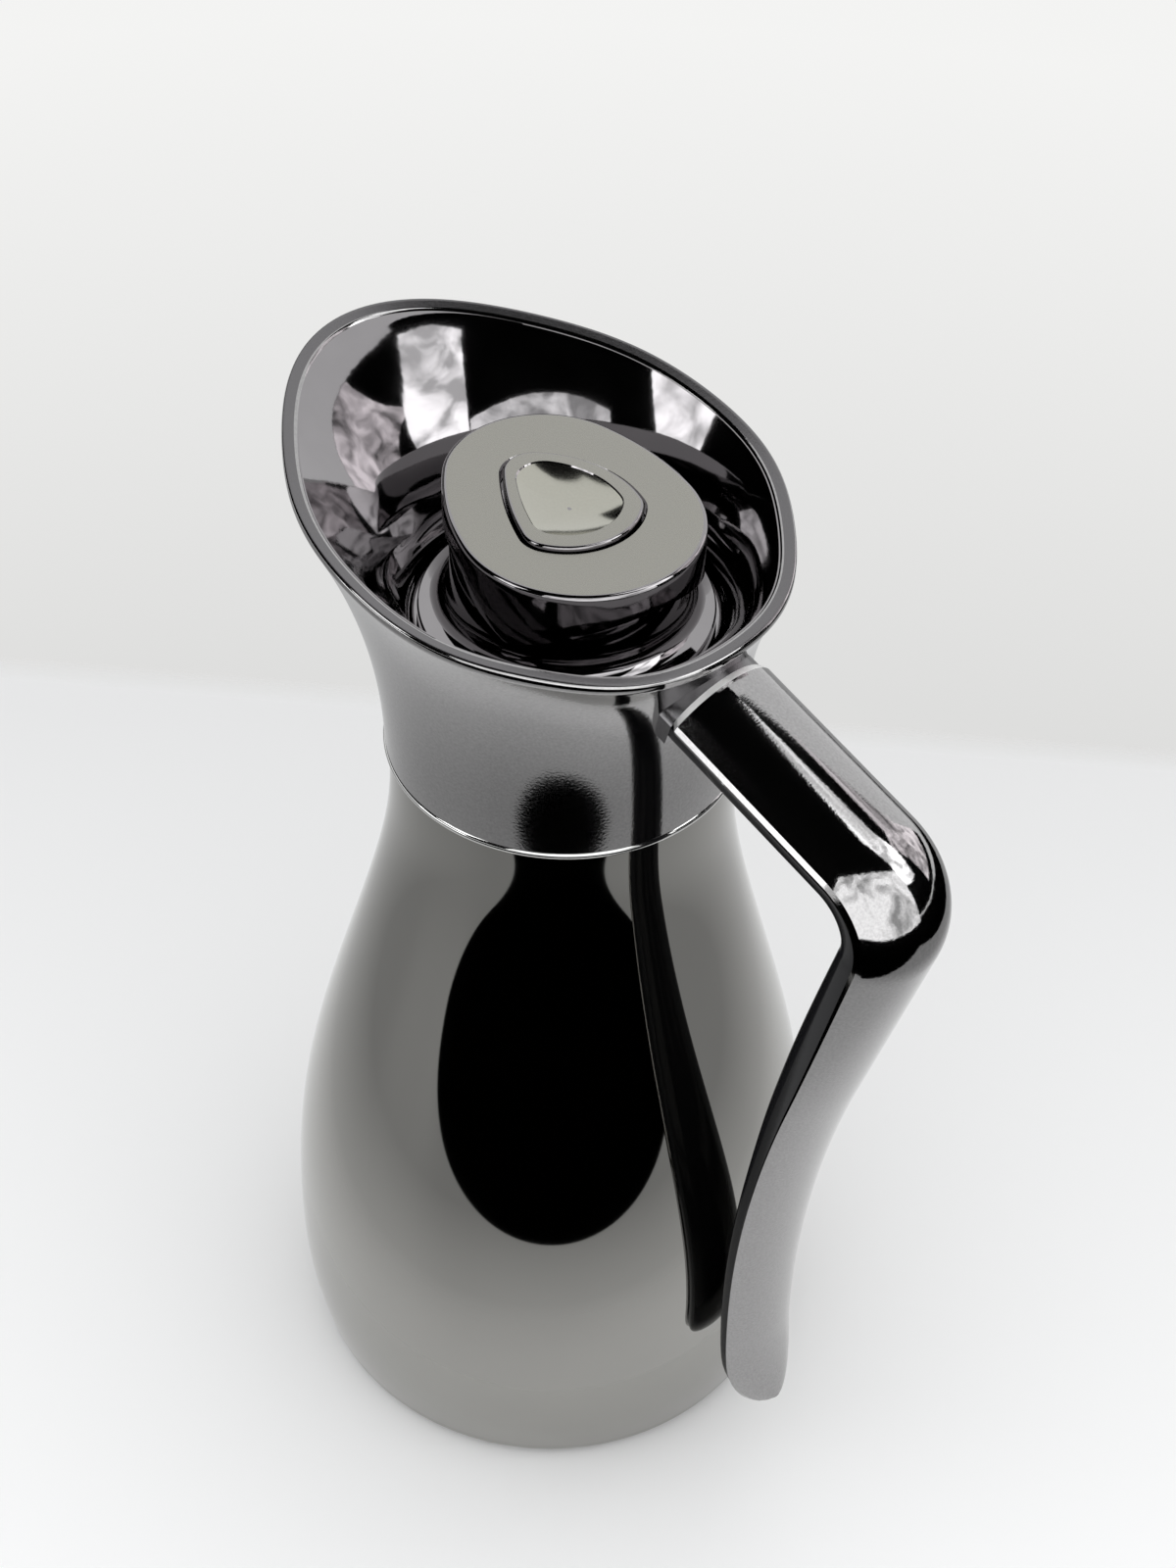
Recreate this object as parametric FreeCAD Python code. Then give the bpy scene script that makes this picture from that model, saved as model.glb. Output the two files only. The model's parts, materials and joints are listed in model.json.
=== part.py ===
"""Thermal jug: a pear-shaped casing over a glass vacuum liner, a flared pouring collar,
a cantilever handle and a screw-in stopper with a press button that opens a pouring valve.

The jug stands on z = 0 about the Z axis, with the handle on +X and the spout on -X.
"""
import FreeCAD
import Part
import math
import os

V = FreeCAD.Vector
UP = V(0, 0, 1)
ORIGIN = V(0, 0, 0)

# Casing
WAIST_Z = 200.0            # middle of the seam between casing and collar
WAIST_R = 39.6             # collar at the seam
NECK_R = 38.5              # casing just below the seam
BELLY_R = 66.8             # widest part of the casing
BASE_TUCK = 3.0            # how far the casing draws in from the belly to its bottom edge
CASING_WALL = 1.2
CASING_FOOT_Z = 1.5        # bottom edge of the casing above the table
CASING_EDGE_R = 3.5        # rounding of the bottom edge
BASE_LAND = 0.4            # flat between the rounded bottom edge and the base opening
# height as a share of the seam height, swell as a share of belly minus neck
CASING_SHARES = ((0.06, 0.942), (0.20, 1.0), (0.36, 0.92), (0.55, 0.632), (0.75, 0.237), (0.90, 0.03))
LINER_ROW_SHARES = (0.20, 0.36, 0.55, 0.75)

# Trim ring in the seam
RING_HEIGHT = 2.0
RING_R = 39.9

# Base
FOOT_INSET = 4.9           # foot ring inside the base opening
FOOT_WIDTH = 6.0
FOOT_HEIGHT = 4.0
FOOT_ROUND = 1.2
COVER_WALL = 2.5
COVER_RIM_TOP_Z = 12.0
COVER_RECESS_R = 30.0
COVER_RECESS_DEPTH = 1.0
FIT = 0.1                  # radial clearance of fitted pieces

# Glass liner and what carries it
GLASS = 1.8
VACUUM = 4.2               # space between the two walls in the belly
LINER_GAP = 4.0            # air between casing and liner
LINER_BASE_Z = 16.0
LINER_FLAT_R = 34.0
LINER_NECK_SPACE = 2.1     # space between the two walls in the neck
LINER_NECK_GAP = 1.4       # air between the liner's neck and the collar's spigot
LINER_SHOULDER_Z = 184.0
LINER_TOP_Z = 205.0
LINER_LIP = 2.0
LINER_MOUTH_R = 21.8
TIP_R = 4.0                # sealed-off tip under the liner
TIP_END_R = 1.5
TIP_LENGTH = 6.0
CUSHION_HEIGHT = 3.0
CUSHION_IN_R = 14.5
CUSHION_OUT_R = 35.0
SUPPORT_WALL = 2.0
SUPPORT_FLOOR = 1.5
SUPPORT_RIBS = 6
GASKET_HEIGHT = 3.5
GASKET_STEP = 0.6          # gasket edge behind the liner's mouth

# Collar
COLLAR_WALL = 2.0
COLLAR_WEB = 2.5
SPIGOT_WALL = 2.0
SPIGOT_FOOT_Z = 186.0
NUT_HEIGHT = 7.8
NUT_WALL = 5.0
NUT_NOTCHES = 6
NUT_NOTCH_R = 2.0
RIM_R = 53.6               # mean radius of the rim
RIM_Z = 260.8              # rim height over the axis
RIM_RISE_SHARE = 0.172     # slope of the rim towards the spout
RIM_WAVE_SHARES = (0.178, 0.080, 0.031, 0.023, 0.011, 0.005, 0.007)
FLARE_LINEAR_SHARE = 0.1   # straight part of the flare at the spout, fading out towards the handle
FLARE_POWER_SHARE = 1.85   # power of the curved part at the spout
FLARE_REAR_SHARE = 1.6     # what the power gains towards the handle
COLLAR_STEP_SHARES = (0.0, 0.2, 0.4, 0.6, 0.8, 0.92, 1.0)
RIM_BAND = 2.4             # upright edge under the rim
LIP_WIDTH = 4.0
LIP_SLOPE = 2.0            # rise of the lip from the rim's outer edge to the mouth
LIP_FLAT = 0.5             # level part of the lip by the mouth
LIP_HEIGHT = 1.0           # the mouth's wall goes this far under the rim's outer edge
LOOP_POINTS = 36

# Pouring funnel
FUNNEL_WALL = 1.5
FUNNEL_R = 34.0            # round bowl at the foot of the funnel
FUNNEL_FLOOR_Z = 233.2
FUNNEL_FLOOR = 2.2
FUNNEL_BOWL_Z = 236.0
FUNNEL_LINEAR_SHARE = 0.35
FUNNEL_STEP_SHARES = (0.0, 0.25, 0.5, 0.75, 1.0)
NECK_BORE_R = 25.5
NECK_WALL = 2.0
LEDGE = 0.3                # funnel edge behind the lip

# Handle, given by the path of its outer face
HANDLE_ROOT_X = 46.3
HANDLE_REACH = 42.7        # from the belly out to where the lines of both arms would meet
HANDLE_CORNER_Z = 227.7
HANDLE_FALL = 16.5         # slope of the upper arm in degrees
HANDLE_LEAN = 14.0         # lean of the lower arm in degrees
HANDLE_BEND_R = 22.9
HANDLE_STRAIGHT = 56.0
HANDLE_TIP_R = 349.0
HANDLE_TIP_TURN = 21.0     # degrees
HANDLE_WIDTH = 27.2
HANDLE_THICK = 14.8
HANDLE_CROWN_SHARE = 0.45  # crown height over the thickness
HANDLE_SPLIT_SHARE = 0.57  # share of the thickness that the outer shell takes
HANDLE_SEAM = 0.2
HANDLE_SET = 0.9           # the cover is narrower than the shell by this on each side
HANDLE_EDGE_SHARE = 0.6    # rounding of the cover's inner edges over its thickness
HANDLE_TIP = 16.0          # length of the rounded end
HANDLE_TIP_ROUND = 75.0    # degrees of the round end that are drawn before its small flat
LOWER_STATIONS = 16
TIP_STATIONS = 5
# share of the lower arm, width share, thickness share
HANDLE_TAPER_SHARES = ((0.0, 1.0, 1.0), (0.38, 0.91, 0.73), (0.72, 0.85, 0.70), (1.0, 0.79, 0.66))
BOSS_SET = 0.6             # the boss is smaller than the handle by this on each side
BOSS_LENGTH = 14.0
SCREW_R = 1.5
SCREW_HEAD_R = 2.8
SCREW_HEAD = 2.2
SCREW_GRIP = 10.0          # length of thread in the handle
SCREW_SPREAD = 12.0
SCREW_DEPTH = 4.8          # axis below the outer face
SCREW_SEAT = 3.6           # from the handle's end face back to the flat that the heads press on

# Stopper
LID_TURN = 163.5           # direction of the lid's nose in degrees
LID_HEIGHT = 25.4          # lid's top above its flange
LID_NOSE_X = 11.5
LID_NOSE_R = 21.3
LID_REAR_X = -5.1
LID_REAR_R = 25.8
LID_SIDE_R = 60.0
LID_EDGE = 1.0
LID_PLATE = 2.8
SKIRT_LOW = 16.3           # depth of the skirt under the lid's corners
SKIRT_HIGH = 7.2           # depth of the skirt between them
SKIRT_ARCH_R = 39.0
SKIRT_ARCH_TURNS = (-52.5, 67.5, 187.5)
CAP_CAVITY_R = 22.4
FLANGE_R = 31.6
FLANGE_HEIGHT = 2.4
POUR_GAP = 1.6             # slot under the flange
NECKING_R = 24.7
NECKING_FLARE_R = 29.5
NECKING_FLARE = 6.0
PLUG_R = 25.0
PLUG_STEP_Z = 212.0
NOSE_R = 20.9
NOSE_FOOT_Z = 191.0
PLUG_WALL = 3.4
PLUG_FLOOR = 2.5
PLUG_CEILING = 3.0
PLUG_SPIGOT = 6.2
CHAMBER_TOP_Z = 230.0
VALVE_PORT_R = 11.5
SEAL_FOOT_Z = 196.0
SEAL_HEIGHT = 3.2
SEAL_DEPTH = 2.0
SEAL_PLAY = 0.1
GUIDE_LENGTH = 15.0
GUIDE_WALL = 2.0
WELL_R = 9.5
PORTS = 4
PORT_WIDTH = 9.0
PORT_HEIGHT = 6.0
PORT_FOOT_Z = 202.0
CHANNELS = 6
CHANNEL_R = 2.5

# Button and valve
BUTTON_RISE = 1.0
BUTTON_TURNS = (10.5, 131.5, 237.5)
BUTTON_REACHES = (18.6, 16.3, 15.1)
BUTTON_ROUNDS = (6.5, 6.0, 5.5)
BUTTON_SIDES = (65.0, 16.0, 24.0)
BUTTON_GAP = 0.5
BUTTON_EDGE = 0.6
BUTTON_FLANGE = 1.6
BUTTON_FLANGE_HEIGHT = 3.2
BUTTON_STOP = 0.4          # play under the lid's plate
SOCKET_WALL = 1.9
SOCKET_DEPTH = 6.2
DISH_INSET = 4.3
DISH_DEPTH = 1.3
DISH_R = 75.0
STEM_R = 2.9
STEM_FIT = 0.05
STEM_PLAY = 0.1
STEM_END = 1.2
DISC_R = 14.5
DISC_HEIGHT = 3.0
VALVE_GAP = 0.1
VALVE_SEAL_IN_R = 12.0
VALVE_SEAL_OUT_R = 14.0
VALVE_SEAL_HEIGHT = 1.2
CLIP_R = 5.0
CLIP_HEIGHT = 1.2
CLIP_SLOT = 3.0
SPRING_R = 6.6
SPRING_WIRE = 1.1
SPRING_TURNS = 7
SPRING_SEAT_GAP = 0.1
SPRING_TURN_PARTS = 4      # pieces per turn of the spring's centre line
SPRING_TURN_SAMPLES = 24   # places per turn where the gap between turns is measured
OVERRUN = 5.0              # length that cuts run past a face
TINY = 0.005               # allowance for telling which edges lie in a face

# Sizes that follow from the ones above
BASE_R = BELLY_R - BASE_TUCK
BASE_OPENING_R = BASE_R - CASING_EDGE_R - BASE_LAND
FOOT_OUT_R = BASE_OPENING_R - FOOT_INSET
FOOT_IN_R = FOOT_OUT_R - FOOT_WIDTH
LINER_NECK_R = LINER_MOUTH_R + GLASS + LINER_NECK_SPACE + GLASS
SPIGOT_R = LINER_NECK_R + LINER_NECK_GAP + SPIGOT_WALL
MOUTH_R = SPIGOT_R + FIT
GASKET_IN_R = LINER_MOUTH_R + GASKET_STEP
NUT_OUT_R = MOUTH_R + NUT_WALL
HANDLE_CORNER_X = BELLY_R + HANDLE_REACH
RING_FOOT_Z = WAIST_Z - RING_HEIGHT / 2
COLLAR_Z = WAIST_Z + RING_HEIGHT / 2
FLANGE_FOOT_Z = FUNNEL_FLOOR_Z + POUR_GAP
FLANGE_TOP_Z = FLANGE_FOOT_Z + FLANGE_HEIGHT
LID_TOP_Z = FLANGE_TOP_Z + LID_HEIGHT
PLATE_FOOT_Z = LID_TOP_Z - LID_PLATE
BUTTON_TOP_Z = LID_TOP_Z + BUTTON_RISE
BUTTON_FOOT_Z = PLATE_FOOT_Z - BUTTON_STOP - BUTTON_FLANGE_HEIGHT
COVER_TOP_Z = FOOT_HEIGHT + COVER_WALL
CUSHION_FOOT_Z = LINER_BASE_Z - CUSHION_HEIGHT
WELL_FLOOR_Z = CHAMBER_TOP_Z + PLUG_CEILING
DISC_TOP_Z = NOSE_FOOT_Z - VALVE_GAP
DISC_FOOT_Z = DISC_TOP_Z - DISC_HEIGHT
CLIP_FOOT_Z = DISC_FOOT_Z - CLIP_HEIGHT


def line(start, end):
    """Straight edge in the XZ plane between two (radius, height) points."""
    return Part.makeLine(V(start[0], 0, start[1]), V(end[0], 0, end[1]))


def arc(start, middle, end):
    """Circular edge in the XZ plane through three (radius, height) points."""
    points = [V(radius, 0, height) for radius, height in (start, middle, end)]
    return Part.Arc(*points).toShape()


def curve(points, first=None, last=None):
    """Smooth edge in the XZ plane through (radius, height) points, with optional end directions."""
    places = [V(radius, 0, height) for radius, height in points]
    runs = [0.0]
    for a, b in zip(places, places[1:]):
        runs.append(runs[-1] + a.distanceToPoint(b))
    spline = Part.BSplineCurve()
    if first is None:
        spline.interpolate(Points=places, Parameters=runs)
    else:
        spline.interpolate(Points=places, Parameters=runs, Scale=False,
                           InitialTangent=V(first[0], 0, first[1]), FinalTangent=V(last[0], 0, last[1]))
    return spline.toShape()


def turned(edges):
    """Solid of revolution about Z from a closed outline."""
    return Part.Face(Part.Wire(Part.__sortEdges__(edges))).revolve(ORIGIN, UP, 360)


def turned_polygon(points):
    """Solid of revolution from straight edges through (radius, height) points."""
    closed = list(points) + [points[0]]
    return turned([line(a, b) for a, b in zip(closed, closed[1:])])


def ring(inner, outer, low, high):
    """Plain ring between two radii and two heights."""
    return turned_polygon([(inner, low), (outer, low), (outer, high), (inner, high)])


def rod(radius, low, high):
    """Upright round bar on the axis."""
    return Part.makeCylinder(radius, high - low, V(0, 0, low))


def spun(shape, turns):
    """Copies of a shape at several angles about Z, joined in one compound."""
    copies = []
    for turn in turns:
        copy = shape.copy()
        copy.rotate(ORIGIN, UP, turn)
        copies.append(copy)
    return Part.makeCompound(copies)


def even_turns(count):
    """Evenly spaced angles of a full turn."""
    return [360 * i / count for i in range(count)]


def casing_rows(inset):
    """Points of the casing's side, moved inwards by an inset."""
    swell = BELLY_R - NECK_R
    return [(NECK_R + swell * share - inset, WAIST_Z * height) for height, share in CASING_SHARES]


def make_outer_casing():
    edge_z = CASING_FOOT_Z + CASING_EDGE_R
    top_in_z = RING_FOOT_Z - CASING_WALL
    bevel = CASING_EDGE_R * math.sin(math.pi / 4)
    centre_r = BASE_R - CASING_EDGE_R
    outside = [(BASE_R, edge_z)] + casing_rows(0) + [(NECK_R, RING_FOOT_Z)]
    inside = [(BASE_R - CASING_WALL, edge_z)] + casing_rows(CASING_WALL) + [(NECK_R - CASING_WALL, top_in_z)]
    return turned([
        line((BASE_OPENING_R, CASING_FOOT_Z), (centre_r, CASING_FOOT_Z)),
        arc((centre_r, CASING_FOOT_Z), (centre_r + bevel, edge_z - bevel), (BASE_R, edge_z)),
        curve(outside),
        line(outside[-1], (MOUTH_R, RING_FOOT_Z)),
        line((MOUTH_R, RING_FOOT_Z), (MOUTH_R, top_in_z)),
        line((MOUTH_R, top_in_z), inside[-1]),
        curve(inside),
        line(inside[0], (BASE_OPENING_R, edge_z)),
        line((BASE_OPENING_R, edge_z), (BASE_OPENING_R, CASING_FOOT_Z))])


def make_waist_ring():
    half = RING_HEIGHT / 2
    low, high = RING_FOOT_Z, COLLAR_Z
    bead_r = RING_R - half
    return turned([
        line((SPIGOT_R + FIT, low), (bead_r, low)),
        arc((bead_r, low), (RING_R, WAIST_Z), (bead_r, high)),
        line((bead_r, high), (SPIGOT_R + FIT, high)),
        line((SPIGOT_R + FIT, high), (SPIGOT_R + FIT, low))])


def make_foot_ring():
    foot = ring(FOOT_IN_R, FOOT_OUT_R, 0, FOOT_HEIGHT)
    low_edges = [edge for edge in foot.Edges if edge.BoundBox.ZMax < FOOT_ROUND]
    return foot.makeFillet(FOOT_ROUND, low_edges)


def make_base_cover():
    outer = BASE_OPENING_R - FIT
    inner = outer - COVER_WALL
    cover = turned_polygon([
        (0, FOOT_HEIGHT), (inner, FOOT_HEIGHT), (inner, CASING_FOOT_Z), (outer, CASING_FOOT_Z),
        (outer, COVER_RIM_TOP_Z), (inner, COVER_RIM_TOP_Z), (inner, COVER_TOP_Z), (0, COVER_TOP_Z)])
    return cover.cut(rod(COVER_RECESS_R, FOOT_HEIGHT, FOOT_HEIGHT + COVER_RECESS_DEPTH))


def make_liner_support():
    inner = ring(CUSHION_IN_R, CUSHION_IN_R + SUPPORT_WALL, COVER_TOP_Z, CUSHION_FOOT_Z)
    outer = ring(CUSHION_OUT_R - SUPPORT_WALL, CUSHION_OUT_R, COVER_TOP_Z, CUSHION_FOOT_Z)
    floor = ring(CUSHION_IN_R, CUSHION_OUT_R, COVER_TOP_Z, COVER_TOP_Z + SUPPORT_FLOOR)
    reach = CUSHION_OUT_R - CUSHION_IN_R - SUPPORT_WALL
    rib = Part.makeBox(reach, SUPPORT_WALL, CUSHION_FOOT_Z - COVER_TOP_Z,
                       V(CUSHION_IN_R + SUPPORT_WALL / 2, -SUPPORT_WALL / 2, COVER_TOP_Z))
    return floor.fuse([inner, outer] + spun(rib, even_turns(SUPPORT_RIBS)).Solids).removeSplitter()


def make_liner_cushion():
    return ring(CUSHION_IN_R, CUSHION_OUT_R, CUSHION_FOOT_Z, LINER_BASE_Z)


def liner_side(inset, neck):
    """Side of one glass surface, from its flat bottom to the top of its shoulder."""
    rows = dict(CASING_SHARES)
    out = CASING_WALL + LINER_GAP + inset
    swell = BELLY_R - NECK_R
    belly = [(NECK_R + swell * rows[height] - out, WAIST_Z * height) for height in LINER_ROW_SHARES]
    points = [(LINER_FLAT_R, LINER_BASE_Z + inset)] + belly + [(neck, LINER_SHOULDER_Z)]
    return curve(points, (1, 0), (0, 1)), points[0], points[-1]


def make_liner_outer_wall():
    rim_z = LINER_TOP_Z - LINER_LIP
    side, foot, shoulder = liner_side(0, LINER_NECK_R)
    inside, foot_in, shoulder_in = liner_side(GLASS, LINER_NECK_R - GLASS)
    wall = turned([
        line((0, foot[1]), foot), side, line(shoulder, (LINER_NECK_R, rim_z)),
        line((LINER_NECK_R, rim_z), (LINER_NECK_R - GLASS, rim_z)),
        line((LINER_NECK_R - GLASS, rim_z), shoulder_in), inside,
        line(foot_in, (0, foot_in[1])), line((0, foot_in[1]), (0, foot[1]))])
    tip = Part.makeCone(TIP_END_R, TIP_R, TIP_LENGTH, V(0, 0, LINER_BASE_Z - TIP_LENGTH))
    return wall.fuse(tip).removeSplitter()


def make_liner_inner_wall():
    lip_z = LINER_TOP_Z - LINER_LIP
    neck_out = LINER_MOUTH_R + GLASS
    side, foot, shoulder = liner_side(GLASS + VACUUM, neck_out)
    inside, foot_in, shoulder_in = liner_side(GLASS + VACUUM + GLASS, LINER_MOUTH_R)
    return turned([
        line((0, foot[1]), foot), side, line(shoulder, (neck_out, lip_z)),
        line((neck_out, lip_z), (LINER_NECK_R, lip_z)),
        line((LINER_NECK_R, lip_z), (LINER_NECK_R, LINER_TOP_Z)),
        line((LINER_NECK_R, LINER_TOP_Z), (LINER_MOUTH_R, LINER_TOP_Z)),
        line((LINER_MOUTH_R, LINER_TOP_Z), shoulder_in), inside,
        line(foot_in, (0, foot_in[1])), line((0, foot_in[1]), (0, foot[1]))])


def make_mouth_gasket():
    return ring(GASKET_IN_R, LINER_NECK_R, LINER_TOP_Z, LINER_TOP_Z + GASKET_HEIGHT)


def make_neck_nut():
    high = RING_FOOT_Z - CASING_WALL
    nut = ring(SPIGOT_R + FIT, NUT_OUT_R, high - NUT_HEIGHT, high)
    notch = Part.makeCylinder(NUT_NOTCH_R, NUT_HEIGHT, V(NUT_OUT_R, 0, high - NUT_HEIGHT))
    return nut.cut(spun(notch, even_turns(NUT_NOTCHES)))


def rim_radius(turn):
    """Plan radius of the rim at an angle from the spout."""
    waves = [share * math.cos(n * turn) for n, share in enumerate(RIM_WAVE_SHARES, 1)]
    return RIM_R * (1 + sum(waves))


def loop(radius_at, base_z, step, drop):
    """Closed smooth loop about the axis; its plane tilts towards the spout as step goes from 0 to 1."""
    points = []
    for i in range(LOOP_POINTS):
        turn = 2 * math.pi * i / LOOP_POINTS
        radius = radius_at(turn)
        rise = RIM_Z - drop - base_z + RIM_RISE_SHARE * radius * math.cos(turn)
        points.append(V(-radius * math.cos(turn), radius * math.sin(turn), base_z + rise * step))
    spline = Part.BSplineCurve()
    spline.interpolate(points, True)
    return Part.Wire(spline.toShape())


def flared(step, low_r, inset, top_inset, growth):
    """Radius of a flared wall part way from a round foot to the rim."""
    foot = low_r - inset
    return lambda turn: foot + (rim_radius(turn) - top_inset - foot) * growth(step, turn)


def collar_growth(step, turn):
    """Share of the collar's flare that is reached at a step; the handle side stays upright for longer."""
    rear = (1 - math.cos(turn)) / 2
    linear = FLARE_LINEAR_SHARE * (1 - rear)
    return linear * step + (1 - linear) * step ** (FLARE_POWER_SHARE + FLARE_REAR_SHARE * rear)


def funnel_growth(step, turn):
    """Share of the funnel's flare that is reached at a step."""
    return FUNNEL_LINEAR_SHARE * step + (1 - FUNNEL_LINEAR_SHARE) * step * step


def collar_body(inset, base_z, drop):
    """Flared body of the collar up to a level under the rim."""
    loops = [loop(flared(step, WAIST_R, inset, inset, collar_growth), base_z, step, drop)
             for step in COLLAR_STEP_SHARES]
    return Part.makeLoft(loops, True, False)


def rim_slab(inset, top_inset, low_drop, high_drop):
    """Slice with the rim's outline between two levels under the rim."""
    low = loop(lambda turn: rim_radius(turn) - inset, 0, 1, low_drop)
    high = loop(lambda turn: rim_radius(turn) - top_inset, 0, 1, high_drop)
    return Part.makeLoft([low, high], True, True)


def funnel_body(wall, foot_z):
    """Inside of the funnel, or its outside when a wall is given, from its foot up to the lip."""
    bowl_r = FUNNEL_R + wall
    top_inset = LIP_WIDTH + LEDGE - wall
    loops = [loop(lambda turn: bowl_r, foot_z, 0, LIP_HEIGHT)]
    loops += [loop(flared(step, bowl_r, 0, top_inset, funnel_growth),
                   FUNNEL_BOWL_Z, step, LIP_HEIGHT) for step in FUNNEL_STEP_SHARES]
    return Part.makeLoft(loops, True, False)


def handle_path():
    """Outer face of the handle from its root, as (length, curvature) pieces in the XZ plane."""
    fall = math.radians(HANDLE_FALL)
    swing = math.pi / 2 + math.radians(HANDLE_LEAN) - fall
    arm = (HANDLE_CORNER_X - HANDLE_ROOT_X) / math.cos(fall)
    setback = HANDLE_BEND_R * math.tan(swing / 2)
    return [(arm - setback, 0),
            (HANDLE_BEND_R * swing, -1 / HANDLE_BEND_R),
            (HANDLE_STRAIGHT, 0),
            (HANDLE_TIP_R * math.radians(HANDLE_TIP_TURN), 1 / HANDLE_TIP_R)]


def handle_point(left):
    """Place, forward direction and outward normal after a length of the handle's path."""
    heading = -math.radians(HANDLE_FALL)
    root_rise = (HANDLE_CORNER_X - HANDLE_ROOT_X) * math.tan(-heading)
    place = V(HANDLE_ROOT_X, 0, HANDLE_CORNER_Z + root_rise)
    for length, bend in handle_path():
        run = min(left, length)
        forward = V(math.cos(heading), 0, math.sin(heading))
        normal = V(-math.sin(heading), 0, math.cos(heading))
        if bend == 0:
            place = place + forward * run
        else:
            turn = run * bend
            place = place + (forward * math.sin(turn) + normal * (1 - math.cos(turn))) * (1 / bend)
            heading += turn
        left -= run
    forward = V(math.cos(heading), 0, math.sin(heading))
    normal = V(-math.sin(heading), 0, math.cos(heading))
    return place, forward, normal


def section_wire(place, normal, corners):
    """Closed section from (side, depth) corners: the first three make the crown arc."""
    spots = [place + V(0, side, 0) + normal * depth for side, depth in corners]
    edges = [Part.Arc(*spots[:3]).toShape()]
    rest = spots[2:] + spots[:1]
    edges += [Part.makeLine(a, b) for a, b in zip(rest, rest[1:])]
    return Part.Wire(edges)


def shell_section(place, normal, width, thick, depth_share, margin):
    """Crowned section of the handle down to a share of its thickness, grown by a margin."""
    half = width / 2 + margin
    crown = thick * HANDLE_CROWN_SHARE
    depth = thick * depth_share
    return section_wire(place, normal, [
        (-half, margin - crown), (0, margin), (half, margin - crown),
        (half - HANDLE_SET / 2, -depth - margin), (HANDLE_SET / 2 - half, -depth - margin)])


def cover_section(place, normal, width, thick):
    """Section of the handle's inner cover with a rounded inner face."""
    half = width / 2 - HANDLE_SET
    high = thick * HANDLE_SPLIT_SHARE + HANDLE_SEAM
    edge = (thick - high) * HANDLE_EDGE_SHARE
    return section_wire(place, normal, [
        (half - edge, edge - thick), (0, -thick), (edge - half, edge - thick),
        (-half, -high), (half, -high)])


def handle_taper(share):
    """Width and thickness shares at a share of the lower arm."""
    for (low, wide_a, deep_a), (high, wide_b, deep_b) in zip(HANDLE_TAPER_SHARES, HANDLE_TAPER_SHARES[1:]):
        if share <= high:
            part = (share - low) / (high - low)
            return wide_a + (wide_b - wide_a) * part, deep_a + (deep_b - deep_a) * part
    return HANDLE_TAPER_SHARES[-1][1:]


def lower_stations():
    """Length along the lower arm, width and thickness of its sections, with the rounded end last."""
    length = sum(run for run, _ in handle_path()[2:])
    body = length - HANDLE_TIP
    rows = [(body * i / LOWER_STATIONS, 1) for i in range(LOWER_STATIONS + 1)]
    for i in range(1, TIP_STATIONS + 1):
        angle = math.radians(HANDLE_TIP_ROUND) * i / TIP_STATIONS
        rows.append((body + HANDLE_TIP * math.sin(angle), math.cos(angle)))
    stations = []
    for run, shrink in rows:
        wide, deep = handle_taper(run / length)
        stations.append((run, HANDLE_WIDTH * wide * shrink, HANDLE_THICK * deep * math.sqrt(shrink)))
    return stations


def handle_solid(section):
    """Upper arm, bend and tapered lower arm with one kind of section."""
    (arm, _), (bend, curvature), *_ = handle_path()
    place, forward, normal = handle_point(0)
    upper = Part.Face(section(place, normal, HANDLE_WIDTH, HANDLE_THICK)).extrude(forward * arm)
    place, _, normal = handle_point(arm)
    face = Part.Face(section(place, normal, HANDLE_WIDTH, HANDLE_THICK))
    elbow = face.revolve(place + normal * (1 / curvature), V(0, 1, 0), math.degrees(-bend * curvature))
    wires = []
    for run, width, thick in lower_stations():
        place, _, normal = handle_point(arm + bend + run)
        wires.append(section(place, normal, width, thick))
    lower = Part.makeLoft(wires, True, True)
    return upper.fuse([elbow, lower]).removeSplitter()


def screw_axes():
    """Points on the handle's end face where the screws enter, and their direction."""
    place, forward, normal = handle_point(0)
    sides = (-SCREW_SPREAD / 2, SCREW_SPREAD / 2)
    return [place + V(0, side, 0) - normal * SCREW_DEPTH for side in sides], forward


def screw_bars(radius, back, ahead):
    """Round bars along the screw axes, from behind the handle's end face to ahead of it."""
    spots, forward = screw_axes()
    return [Part.makeCylinder(radius, back + ahead, spot - forward * back, forward) for spot in spots]


def make_handle_shell():
    shell = handle_solid(lambda place, normal, width, thick:
                         shell_section(place, normal, width, thick, HANDLE_SPLIT_SHARE, 0))
    return shell.cut(Part.makeCompound(screw_bars(SCREW_R + STEM_FIT, OVERRUN, SCREW_GRIP)))


def make_handle_cover():
    return handle_solid(cover_section)


def make_handle_screws():
    shanks = screw_bars(SCREW_R, SCREW_SEAT, SCREW_GRIP - STEM_PLAY)
    heads = screw_bars(SCREW_HEAD_R, SCREW_SEAT + SCREW_HEAD, -SCREW_SEAT)
    return Part.makeCompound([shank.fuse(head).removeSplitter() for shank, head in zip(shanks, heads)])


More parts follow.
